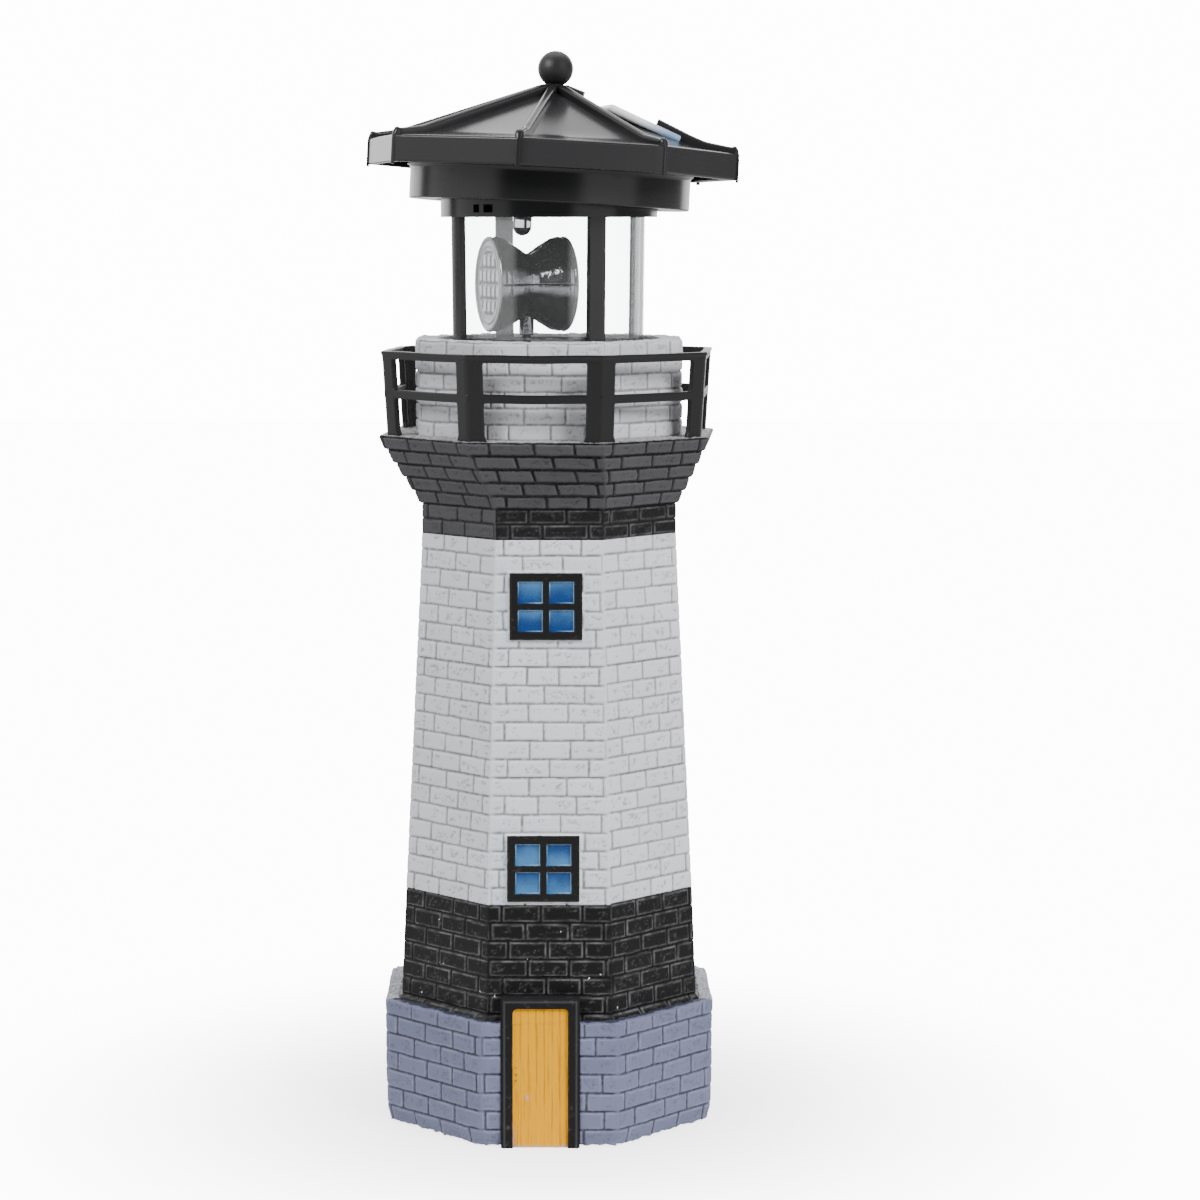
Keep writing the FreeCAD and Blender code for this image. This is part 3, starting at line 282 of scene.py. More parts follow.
class Finish:
    """Builds one material from shader terms."""

    def __init__(self, name, tree=None):
        self.material = None
        if tree is None:
            self.material = bpy.data.materials.new(name)
            self.material.use_nodes = True
            tree = self.material.node_tree
        self.tree = tree
        self.tree.nodes.clear()

    def add(self, kind, settings=None, inputs=(), output=0):
        """Any node: its settings are made first, then its sockets are filled, by order or by name."""
        node = self.tree.nodes.new(kind)
        for name, value in (settings or {}).items():
            if name == "stops":
                ramp = node.color_ramp
                while len(ramp.elements) < len(value):
                    ramp.elements.new(0.5)
                for element, (position, colour) in zip(ramp.elements, value):
                    element.position, element.color = position, (*colour, 1.0)
            else:
                setattr(node, name, value)
        pairs = inputs.items() if isinstance(inputs, dict) else enumerate(inputs)
        for key, value in pairs:
            if value is None:
                continue
            if isinstance(value, Term):
                self.tree.links.new(value.socket, node.inputs[key])
            elif isinstance(value, (tuple, list)) and len(value) == 3 and node.inputs[key].type == "RGBA":
                node.inputs[key].default_value = (*value, 1.0)
            else:
                node.inputs[key].default_value = value
        return Term(self, node.outputs[output]) if node.outputs else None

    def value(self, name):
        """A number that the mesh holds at each point."""
        return self.add("ShaderNodeAttribute", {"attribute_name": name}, output="Fac")

    def place(self):
        return self.add("ShaderNodeTexCoord", output="Object")

    def axis(self, number, vector=None):
        return self.add("ShaderNodeSeparateXYZ", inputs=[vector or self.place()], output=number)

    def noise(self, scale, detail=3.0, roughness=0.55, vector=None):
        """Cloudy noise from nought to one; scale is in features a metre."""
        inputs = {"Vector": vector or self.place(), "Scale": scale, "Detail": detail, "Roughness": roughness}
        return self.add("ShaderNodeTexNoise", inputs=inputs)

    def stretched(self, x, y, z):
        """Object coordinates scaled along each axis, for drawn-out marks."""
        return self.add("ShaderNodeVectorMath", {"operation": "MULTIPLY"}, [self.place(), (x, y, z)])

    def mix(self, low, high, factor):
        """From one colour to another."""
        inputs = {0: factor, 6: low, 7: high}
        return self.add("ShaderNodeMix", {"data_type": "RGBA"}, inputs, output=2)

    def bump(self, height, distance, strength=1.0):
        """A small relief from a height between nought and one; distance is its depth in metres."""
        inputs = {"Height": height, "Distance": distance, "Strength": strength}
        return self.add("ShaderNodeBump", inputs=inputs, output="Normal")

    def surface(self, shader=None, **sockets):
        """Join a Principled shader with these sockets, or the given shader, to the output."""
        if shader is None:
            shader = self.principled(**sockets)
        self.add("ShaderNodeOutputMaterial", inputs={"Surface": shader})
        return self.material

    def principled(self, **sockets):
        """A Principled shader; an underscore in a socket's name stands for a space."""
        inputs = {name.replace("_", " "): value for name, value in sockets.items()}
        return self.add("ShaderNodeBsdfPrincipled", inputs=inputs)


# ---------------------------------------------------------------- finishes


def masonry_paint(name, face, joint, edge, edge_share, roughness, tint=None, mark_shade=0.0, chips=0.0):
    """Brushed paint on cast bricks: colour drifts from brick to brick, dark wash lies in the joints, painted
    shade and a painted highlight lie in the chisel marks, a dry brush has caught the edges, and a few pale
    chips show."""
    f = Finish(name)
    grooves, rims, marks, tone = (f.value(key) for key in ("joint", "edge", "mark", "tone"))
    cloud, grain, speck = f.noise(70, 4), f.noise(1400, 4), f.noise(4200, 2)
    dull = tuple(channel * 0.84 for channel in face)
    colour = f.mix(dull, face, tone * 0.55 + cloud * 0.6)
    if tint is not None:
        colour = f.mix(colour, tint, f.value("spray") * grain.rise(0.2, 0.7))
    # Painted shade: the joint colour laid into the chisel marks stands for the shade in their hollows.
    colour = f.mix(colour, joint, grooves.most(marks * mark_shade) * (0.75 + grain * 0.3))
    # A dry brush on the edges, and a painted highlight on the chisel marks.
    dry_brush_and_highlight = rims * (f.noise(260, 3).rise(0.3, 0.7) * 0.9 + 0.25) + marks * grain.rise(0.3, 0.7) * 0.6
    colour = f.mix(colour, edge, dry_brush_and_highlight * edge_share)
    colour = f.mix(colour, tuple(channel * 0.6 for channel in joint), speck.rise(0.71, 0.76) * 0.5)
    colour = f.mix(colour, (0.62, 0.62, 0.62), f.noise(800, 0).rise(0.865, 0.875) * chips)
    relief = f.bump(grain * 0.7 + speck * 0.3, 0.00009)
    rough = roughness + grain * 0.18 - grooves * 0.05
    return f.surface(Base_Color=colour, Roughness=rough, Normal=relief, Specular_IOR_Level=0.25)


def window_paint(frame_colour, glass, sky, border):
    """A black frame with brown specks, and panes that run from deep blue to sky blue inside a pale border.
    The mask pane_height says which end of a pane is which."""
    f = Finish("window_paint")
    pane, height, rim = f.value("pane"), f.value("pane_height"), f.value("pane_rim")
    grain, cloud = f.noise(1500, 3), f.noise(110, 2)
    panes = f.mix(glass, sky, (height * 1.1 + cloud * 1.3 - 0.75).rise(0.0, 1.0))
    panes = f.mix(panes, border, rim * (0.2 + cloud * 0.9))
    frame_side = f.mix(frame_colour, (0.09, 0.055, 0.035), f.noise(700, 3).rise(0.62, 0.72) * 0.25)
    colour = f.mix(frame_side, panes, pane)
    return f.surface(Base_Color=colour, Roughness=0.42 - pane * 0.2 + grain * 0.1,
                     Normal=f.bump(grain, 0.00006), Specular_IOR_Level=0.3)


def door_paint(frame_colour, wood, seam):
    """Yellow enamel with darker grain lines down the planks, chipped at its edge, in a satin black frame."""
    f = Finish("door_paint")
    door, plank, chip, scuff = (f.value(key) for key in ("door", "plank", "chip", "scuff"))
    streak = f.noise(1.0, 4, vector=f.stretched(2600, 2600, 90))
    grain = f.noise(1300, 3)
    colour = f.mix(wood, seam, (plank * 0.9).most(streak.rise(0.52, 0.72) * 0.8))
    colour = f.mix(colour, (0.05, 0.02, 0.02), chip)
    colour = f.mix(colour, (0.34, 0.38, 0.47), scuff * grain.rise(0.3, 0.6))
    rubbed = f.noise(450, 4).rise(0.58, 0.8) * 0.3
    black = f.mix(frame_colour, (0.16, 0.16, 0.17), rubbed + f.value("outline") * 0.25)
    return f.surface(Base_Color=f.mix(black, colour, door), Roughness=0.40 + grain * 0.16,
                     Normal=f.bump(grain * 0.6 + streak * 0.4, 0.00008), Specular_IOR_Level=0.04)


def moulded_plastic(name, colour, roughness, dust=0.1):
    """Moulded plastic: flow clouds under the gloss, a fine texture, and grains of dust."""
    f = Finish(name)
    cloud, grain, speck = f.noise(45, 3), f.noise(2200, 3), f.noise(3400, 1)
    scratch = f.noise(1.0, 2, vector=f.stretched(700, 700, 2600)).rise(0.70, 0.78)
    pale = tuple(channel * 1.25 + 0.004 for channel in colour)
    shade = f.mix(colour, pale, cloud)
    shade = f.mix(shade, (0.35, 0.34, 0.33), speck.rise(0.74, 0.78) * dust)
    rough = cloud * 0.08 + grain * 0.05 + scratch * 0.06 + (roughness - 0.07)
    return f.surface(Base_Color=shade, Roughness=rough, Normal=f.bump(grain, 0.000015))


def clear_plastic(name, tint, haze):
    """Thin clear plastic: mostly what is behind it, with its own shine, a faint tint and fine dust."""
    f = Finish(name)
    speck, cloud = f.noise(3000, 2), f.noise(90, 3)
    film = f.principled(Base_Color=tint, Roughness=cloud * 0.06 + 0.03, Specular_IOR_Level=0.5)
    clear = f.add("ShaderNodeBsdfTransparent", inputs=[tint])
    gloss = f.add("ShaderNodeBsdfGlossy", inputs={"Color": (1.0, 1.0, 1.0), "Roughness": 0.04})
    slant = f.add("ShaderNodeLayerWeight", inputs={"Blend": 0.5}, output="Facing")
    lit = f.add("ShaderNodeMixShader", inputs=[slant**5 * 0.5 + 0.085, clear, gloss])
    dusty = f.add("ShaderNodeMixShader", inputs=[speck.rise(0.68, 0.8) * 0.3 + haze, lit, film])
    return f.surface(dusty)


def chrome(name, colour):
    """Vacuum-plated chrome over a plastic with sinks and ripples in it. One mask paints dark reflections on
    the shells above and below their split line, and another paints the light hole black as painted shade."""
    f = Finish(name)
    ripple, fine, cloud = f.noise(330, 3), f.noise(1500, 3), f.noise(120, 3)
    shade = f.mix(tuple(channel * 0.7 for channel in colour), colour, cloud.rise(0.3, 0.6))
    # Painted dark reflections on the shells, away from their split line.
    shade = f.mix(shade, tuple(channel * 0.08 for channel in colour), f.value("dull") * (0.65 + ripple * 0.7))
    # Painted shade: the light hole is painted black.
    shade = f.mix(shade, (0.01, 0.01, 0.01), f.value("well"))
    relief = f.bump(ripple * 0.7 + fine * 0.3, 0.00014)
    return f.surface(Base_Color=shade, Metallic=1.0, Roughness=0.04 + fine * 0.07, Normal=relief)


def lamp_plastic(name, tint):
    """Clear epoxy that bends the light behind it, slightly milky inside, with fine moulding marks."""
    f = Finish(name)
    haze, fine = f.noise(700, 2), f.noise(2600, 2)
    shade = f.mix(tuple(channel * 0.88 for channel in tint), tint, haze)
    return f.surface(Base_Color=shade, Roughness=fine * 0.05 + 0.01, Transmission_Weight=1.0, IOR=1.5,
                     Normal=f.bump(fine, 0.00001))


def lens_plastic(name, tint):
    """Milky clear lens: dark seams between bright pillows, painted shade and painted light of the chrome
    behind, and a bead painted white as a highlight.
    """
    f = Finish(name)
    seam, pillow, grain = f.value("seam"), f.value("pillow"), f.noise(900, 3)
    # Painted light of the chrome on the pillows, and painted shade in the seams.
    shade = f.mix(tuple(channel * 0.35 for channel in tint), tint, pillow * (0.5 + grain * 0.7))
    shade = f.mix(shade, (0.10, 0.10, 0.11), seam * 0.55)
    # Painted highlight: the bead is painted white.
    shade = f.mix(shade, (1.0, 1.0, 1.0), f.value("bead"))
    return f.surface(Base_Color=shade, Metallic=0.5 - f.value("bead") * 0.5, Roughness=grain * 0.1 + 0.1,
                     Normal=f.bump(grain, 0.00006))


def circuit_green(name, board, track):
    """Solder resist over winding copper tracks, with bare pads."""
    f = Finish(name)
    path = (f.noise(260, 1) - 0.5).math("ABSOLUTE").rise(0.035, 0.02)
    pads = f.add("ShaderNodeTexVoronoi", inputs={"Vector": f.place(), "Scale": 420.0}).rise(0.22, 0.18)
    shade = f.mix(f.mix(board, tuple(channel * 1.8 for channel in board), path), track, pads)
    return f.surface(Base_Color=shade, Roughness=0.35 - pads * 0.1, Normal=f.bump(path + pads, 0.00004))


def metal(name, colour, roughness, stretch=(200, 200, 2600)):
    """Bare metal with fine drawn lines and a little tarnish."""
    f = Finish(name)
    lines, cloud = f.noise(1.0, 3, vector=f.stretched(*stretch)), f.noise(300, 3)
    shade = f.mix(tuple(channel * 0.7 for channel in colour), colour, cloud.rise(0.3, 0.6))
    return f.surface(Base_Color=shade, Metallic=1.0, Roughness=roughness + lines * 0.15,
                     Normal=f.bump(lines, 0.00001))


def solar_cell(name, cell, finger, edge):
    """Blue-black silicon with cloudy grains, printed fingers and bus bars, in a pale cast rim."""
    f = Finish(name)
    length, width, rim = f.value("panel_length"), f.value("panel_width"), f.value("panel_rim")
    grain = f.noise(450, 3)
    colour = f.mix(cell, tuple(channel * 2.2 for channel in cell), grain)
    comb = ((width * 14.0).math("FRACT") - 0.5).math("ABSOLUTE").rise(0.42, 0.47)
    bus = ((length * 5.0).math("FRACT") - 0.5).math("ABSOLUTE").rise(0.455, 0.475)
    colour = f.mix(colour, finger, comb.most(bus) * 0.55)
    sky = f.mix(edge, (0.22, 0.34, 0.52), (f.value("panel_width") * -1.0 + 0.62).rise(0.0, 0.5))
    colour = f.mix(colour, sky, rim)
    return f.surface(Base_Color=colour, Roughness=0.1 + grain * 0.08, Coat_Weight=0.6,
                     Normal=f.bump(grain, 0.00001))


# ---------------------------------------------------------------- masonry


def brickwork(facet, x, z, course, length, seed, depth=0.5, joint_width=0.42):
    """Relief and paint masks of coursed bricks from facet number, distance along it and height.

    Height over course gives a row, which each facet shifts and tips a little. Distance over length gives a
    place in the row, shifted by half a brick in odd rows, and each upright joint is moved by a repeatable
    random number. The lesser distance to a joint gives a rounded groove. Away from joints, the zero line of
    a noise gives chisel marks where a second noise is high, and each brick stands out by its own random
    amount.
    """
    level = z + 0.35 * (scatter(facet, seed) - 0.5) + 0.012 * (scatter(facet, seed + 3) - 0.5) * x
    level = level + 0.10 * mottle(x * 0.25, z * 0.6 + 40.0 * facet, seed)
    row = np.floor(level / course)
    within = level / course - row
    rise = np.minimum(within, 1 - within) * course
    place = x / length + 0.5 * np.mod(row, 2) + 0.37 * facet + 0.22 * scatter(row, facet, seed + 5)
    lean = 0.03 * (scatter(row, np.floor(place + 0.5), facet, seed) - 0.5) * (within - 0.5)
    brick = np.floor(place)

    def joint_at(number):
        return number + 0.2 * (scatter(row, number, facet, seed + 7) - 0.5) + lean

    run = np.minimum(np.abs(place - joint_at(brick)), np.abs(place - joint_at(brick + 1))) * length
    brick = brick - (place < joint_at(brick)) + (place > joint_at(brick + 1))
    wobble = 0.12 * mottle(x * 1.3, z * 1.3 + 70 * facet, seed + 11, 2)
    away = np.minimum(rise, run) + wobble
    groove = smooth((joint_width - away) / 0.3)
    shoulder = smooth(1 - (away - joint_width) / 0.45) * (1 - groove)
    rim = np.exp(-(((away - joint_width - 0.14) / 0.18) ** 2)) * (1 - 0.7 * groove)
    squiggle = smooth(1 - np.abs(mottle(x * 0.9, z * 1.25 + 30 * facet, seed + 19, 2)) / 0.2)
    patch = smooth((mottle(x * 0.55, z * 0.7 + 50 * facet, seed + 23) + 0.15) * 3)
    marks = squiggle * patch * smooth((away - 0.85) / 0.5)
    own = scatter(row, brick, facet, seed + 29)
    grit = mottle(x * 2.6, z * 2.6 + 90 * facet, seed + 31, 2)
    relief = 0.14 * (own - 0.5) * (1 - groove) - depth * groove - 0.08 * shoulder - 0.24 * marks
    return relief + 0.045 * grit, {"joint": groove, "edge": rim, "mark": marks, "tone": own}


def ease_corners(half, x, relief, masks):
    """The relief and its paint fade to a third in the last stretch before a corner, which stays a ridge."""
    left = np.reshape(half, (-1, 1)) * math.tan(HALF_EIGHTH) - np.abs(x)
    fade = 0.3 + 0.7 * smooth(left / 1.5)
    tone = masks.pop("tone")
    return relief * fade, {"tone": tone, **{name: mask * fade for name, mask in masks.items()}}


def rows_between(low, high, step):
    """Even heights from low to high, about one step apart."""
    return np.linspace(low, high, max(2, int(round((high - low) / step)) + 1))


def blank(shape, **values):
    """Paint masks for rows that carry no bricks."""
    masks = {key: np.zeros(shape) for key in ("joint", "edge", "mark", "tone")}
    masks.update({key: np.broadcast_to(value, shape) for key, value in values.items()})
    return masks


def stack(parts):
    """Join rows of points and their masks, one part above the other."""
    points = np.concatenate([points for points, _ in parts])
    values = {}
    for name in sorted(set().union(*(masks for _, masks in parts))):
        rows = [np.broadcast_to(masks.get(name, 0.0), grid.shape[:2]) for grid, masks in parts]
        values[name] = np.concatenate(rows)
    return points, values


def tower_piece(name, finish, *parts):
    """Stack parts into a closed ring round the tower, as a piece of the casting."""
    grid, values = stack(parts)
    skin = Skin()
    skin.grid(grid, round_rows=True, round_columns=True, **values)
    skin.piece(name, finish, "tower", "painted_resin", "tower_casting")


def window_lip(x, z, facet):
    """A bead on the front wall round each window: a bell curve of the distance outside it. Its whiteness is a
    painted highlight, which the shaft adds.
    """
    lip = 0.0 * (x + z)
    for centre_x, centre_z, width, height in WINDOWS:
        outside = np.maximum(np.abs(x - centre_x) - width / 2, np.abs(z - centre_z) - height / 2)
        lip = np.maximum(lip, np.exp(-(((outside - 0.15) / 0.35) ** 2)) * (facet == 0))
    return LIP_HEIGHT * lip


def overspray(facet, x, z, windows):
    """Blue mist round the windows: falls off with distance from each window's edge, more to its left."""
    mist = np.zeros(np.broadcast_shapes(facet.shape, x.shape, z.shape))
    for centre_x, centre_z, width, height in windows:
        side = np.maximum(np.abs(x - centre_x) - width / 2, 0)
        over = np.maximum(np.abs(z - centre_z) - height / 2, 0)
        near = np.exp(-np.hypot(side, over * 1.2) / 3.4)
        mist = np.maximum(mist, near * np.where(x < centre_x - 8.0, 1.0, 0.5) * (facet == 0))
    return mist * (0.7 + 0.5 * mottle(x * 0.3, z * 0.3, 5))


# ---------------------------------------------------------------- settings


def colour_setting(name, value, description):
    return FloatVectorProperty(name=name, description=description, subtype="COLOR", size=3, min=0, max=1,
                               default=value)


def length_setting(name, value, description):
    return FloatProperty(name=name, description=description, default=value, min=0.0, unit="NONE")


class TowerSettings(bpy.types.PropertyGroup):
    course: length_setting("Course", 4.86, "Height of one course of bricks on the shaft, in millimetres")
    brick: length_setting("Brick", 10.2, "Length of one brick, in millimetres")
    grid: length_setting("Grid", 0.328, "Distance between mesh points on the bricks, in millimetres")
    white: colour_setting("White", (0.74, 0.75, 0.785), "Paint of the shaft and the pedestal")
    white_joint: colour_setting("White joint", (0.20, 0.20, 0.205), "Joints of the white bricks")
    black: colour_setting("Black", (0.006, 0.006, 0.0065), "Paint of the bands")
    stone: colour_setting("Stone", (0.164, 0.178, 0.276), "Blue-grey paint of the plinth")
    door: colour_setting("Door", (0.80, 0.37, 0.0), "Enamel of the door")
    pane: colour_setting("Pane", (0.008, 0.045, 0.17), "Deep blue of the window panes")
    sky: colour_setting("Pane top", (0.065, 0.20, 0.41), "Paler blue at the top of the panes")


class LanternSettings(bpy.types.PropertyGroup):
    plastic: colour_setting("Plastic", (0.012, 0.012, 0.013), "Black plastic of the roof, drum, ball and cage")
    sides: IntProperty(name="Sides", description="Mesh columns round a turned piece", default=160,
                       min=24, max=360)
    plating: colour_setting("Plating", (0.62, 0.62, 0.64), "Chrome of the reflector")
    cell: colour_setting("Cell", (0.008, 0.012, 0.04), "Silicon of the solar panel")


# Heights of the tower's stages, and the shaft's half width at its foot and at its head.
LEDGE, SHAFT_FOOT, SHAFT_HEAD, CORBEL_FOOT, DECK = 33.2, 64.0, 160.0, 168.0, 186.0
FOOT_HALF, HEAD_HALF = 38.6, 33.9
# Windows as middle X, middle Z, width and height, and the bead round them; then the door's frame.
WINDOW_WIDTH, WINDOW_HEIGHT, LIP_HEIGHT = 19.0, 17.4, 0.3
WINDOWS = tuple((x, z, WINDOW_WIDTH, WINDOW_HEIGHT) for x, z in ((-0.8, 142.7), (-1.5, 73.7)))
DOOR_WIDTH, DOOR_HEIGHT, DOOR_X = 20.8, 40.3, -2.3
# Rails as foot and head heights, and the thickness of the railing's wall.
TOP_RAIL, MIDDLE_RAIL, RAIL_WALL = (206.4, 208.5), (196.0, 198.3), 1.7
PANEL_LENGTH, PANEL_WIDTH = 31.5, 20.8
LENS_SQUARE = 4.1
GALLERY_TURN = math.radians(-5.0)


def wall_half(z):
    """Half width of the shaft at a height: it narrows evenly from the band to the neck."""
    return FOOT_HALF + (HEAD_HALF - FOOT_HALF) * (z - SHAFT_FOOT) / (SHAFT_HEAD - SHAFT_FOOT)


def closing_rows(columns, half, low, high, turn=(0.0, 0.0)):
    """An inner wall, from high down to low, that closes a stage of the tower into a solid ring."""
    points = octagon(columns, [half, half], [high, low], turn=[turn[1], turn[0]])
    return points, blank(points.shape[:2])


def wall_stage(settings, low, high, half_low, half_high, course, base, seed, corner=1.0, swell=None,
               **options):
    """Rows of bricks on a plain stage of the tower, plus a swelling given as a function of place along the
    facet, height and facet number. Returns columns, points, masks, places and heights."""
    columns = octagon_columns(int(28 / settings.grid), 4 if corner < 2 else 8)
    z = rows_between(low, high, settings.grid)
    half = np.interp(z, [low, high], [half_low, half_high])
    x = facet_place(columns, half, corner)
    relief, masks = brickwork(columns[0][None], x, z[:, None] - base, course, settings.brick, seed, **options)
    relief, masks = ease_corners(half, x, relief, masks)
    if swell is not None:
        relief = relief + swell(x, z[:, None], columns[0][None])
    points = octagon(columns, half, z, corner=corner, lift=relief)
    return columns, points, masks, x, z


class LIGHTHOUSE_OT_plinth(bpy.types.Operator):
    """Blue-grey brick plinth with a rough pale ledge"""

    bl_idname = "lighthouse.plinth"
    bl_label = "Plinth"

    def execute(self, context):
        tower = context.scene.lighthouse_tower

        def belly(x, z, facet):
            """Cast unevenly: 0.8 mm fuller than the drawing above the foot, which is drawn in and wavy, and
            1 mm back behind the door."""
            foot = 0.9 * smooth(1 - z / 5.0) + 0.5 * smooth(1 - z / 1.2) * mottle(x * 0.4, 9.0 * facet, 5, 2)
            behind_door = smooth((DOOR_WIDTH / 2 - np.abs(x - DOOR_X)) / 0.8) * (facet == 0)
            full = 0.8 - foot + 0.15 * mottle(x * 0.12 + 7 * facet, z * 0.12, 9)
            return full * (1 - behind_door) - behind_door

        corner, ledge_rows = 4.5, 19
        columns, points, masks, x, _ = wall_stage(tower, 0.0, 33.0, 43.25, 43.5, 5.0, -0.4, 1,
                                                  corner=corner, swell=belly)
        rag = 0.35 * mottle(columns[0] * 9.0 + x[-1] * 0.5, 0 * x[-1], 3, 3)
        points[-3:, :, 2] += rag[None] * np.array([[0.2], [0.5], [0.9]])
        low_rag = 0.35 * (1 + mottle(columns[0] * 9.0 + x[0] * 0.6, 0 * x[0], 6, 3))
        points[:4, :, 2] += low_rag[None] * np.array([[1.0], [0.7], [0.4], [0.15]])
        share = np.linspace(0.0, 1.0, ledge_rows)
        out = 44.1 + (39.0 - 44.1) * share
        ledge = octagon(columns, out, np.full(ledge_rows, 33.5), corner=corner)
        rough = mottle(ledge[..., 0] * 0.8, ledge[..., 1] * 0.8, 41, 3)
        ledge[..., 2] += 0.3 * rough + rag * (1 - share[:, None])
        # The pale spray on the ledge leaves out the front facet and its two neighbours.
        front = np.abs((columns[0] + 4) % 8 - 4) <= 1
        reach = np.where(front, 0.25, 0.68) + 0.10 * mottle(x[-1] * 0.6 + 30 * columns[0], 0 * x[-1], 45, 3)
        skirt = smooth((share[:, None] - reach[None]) / 0.08)
        fleck = smooth((mottle(ledge[..., 0] * 2.1, ledge[..., 1] * 2.1, 49, 2) - 0.35) * 6) * 0.7
        pale = blank(ledge.shape[:2], spray=(1.0 - skirt) * ~front, joint=np.maximum(skirt, fleck * ~front),
                     tone=0.5 + 0.5 * rough)
        masks["spray"] = 0.5 * smooth((points[..., 2] - 32.9) / 0.5) * ~front
        finish = masonry_paint("plinth_paint", tuple(tower.stone), (0.028, 0.031, 0.046),
                               (0.36, 0.38, 0.47), 0.4, 0.5, tint=(0.52, 0.53, 0.54), mark_shade=0.55)
        tower_piece("plinth", finish, (points, masks), (ledge, pale), closing_rows(columns, 39.0, 0.0, 32.6))
        return {"FINISHED"}


class LIGHTHOUSE_OT_band(bpy.types.Operator):
    """Black brick band at the foot of the shaft, brushed grey on its edges"""

    bl_idname = "lighthouse.band"
    bl_label = "Black band"

    def execute(self, context):
        tower = context.scene.lighthouse_tower

        def foot(x, z, facet):
            """A ragged roll of paint and resin where the wall meets the ledge."""
            lump = 1.0 + 0.5 * mottle(x * 0.5 + 40 * facet, z * 0.4, 103, 3)
            return 1.1 * lump * smooth(1 - (z - LEDGE) / 1.7)

        columns, points, masks, _, _ = wall_stage(tower, LEDGE, SHAFT_FOOT, 39.9, FOOT_HALF, tower.course,
                                                  SHAFT_FOOT - 7 * tower.course, 101, swell=foot)
        finish = masonry_paint("black_paint", tuple(tower.black), (0.002, 0.002, 0.002), (0.30, 0.30, 0.31),
                               0.42, 0.38, chips=1.0)
        tower_piece("black_band", finish, (points, masks), closing_rows(columns, 37.6, 33.4, 63.9))
        return {"FINISHED"}


def white_paint(tower, name="white_paint", share=1.0):
    """White masonry paint, made once under each name; share dims its face colour, a painted shade on a copy of
    the same white.
    """
    if name in bpy.data.materials:
        return bpy.data.materials[name]
    face = tuple(channel * share for channel in tower.white)
    return masonry_paint(name, face, tuple(tower.white_joint), (0.90, 0.90, 0.91), 0.22, 0.5,
                         tint=(0.40, 0.58, 0.74), mark_shade=0.8)


class LIGHTHOUSE_OT_shaft(bpy.types.Operator):
    """White brick shaft in three lifts, with blue mist round the windows"""

    bl_idname = "lighthouse.shaft"
    bl_label = "White shaft"

    def execute(self, context):
        tower = context.scene.lighthouse_tower
        base = SHAFT_HEAD - 0.82 * tower.course
        levels = (SHAFT_FOOT, base - 12 * tower.course, base - 6 * tower.course, SHAFT_HEAD)
        names = ("white_shaft_low", "white_shaft_middle", "white_shaft_high")
        for name, low, high in zip(names, levels, levels[1:]):
            columns, points, masks, x, z = wall_stage(tower, low, high, wall_half(low), wall_half(high),
                                                      tower.course, base, 201, swell=window_lip)
            masks["spray"] = overspray(columns[0][None], x, z[:, None], WINDOWS)
            lip = window_lip(x, z[:, None], columns[0][None]) / LIP_HEIGHT
            # Painted highlight: the bead round each window gets the pale edge colour, and no joints.
            masks["edge"], masks["joint"] = masks["edge"] + 6.0 * lip, masks["joint"] * (1 - lip)
            inner = closing_rows(columns, wall_half(high) - 1.2, low, high)
            inner[0][1] = octagon(columns, [wall_half(low) - 1.2], [low])[0]
            tower_piece(name, white_paint(tower), (points, masks), inner)
        return {"FINISHED"}


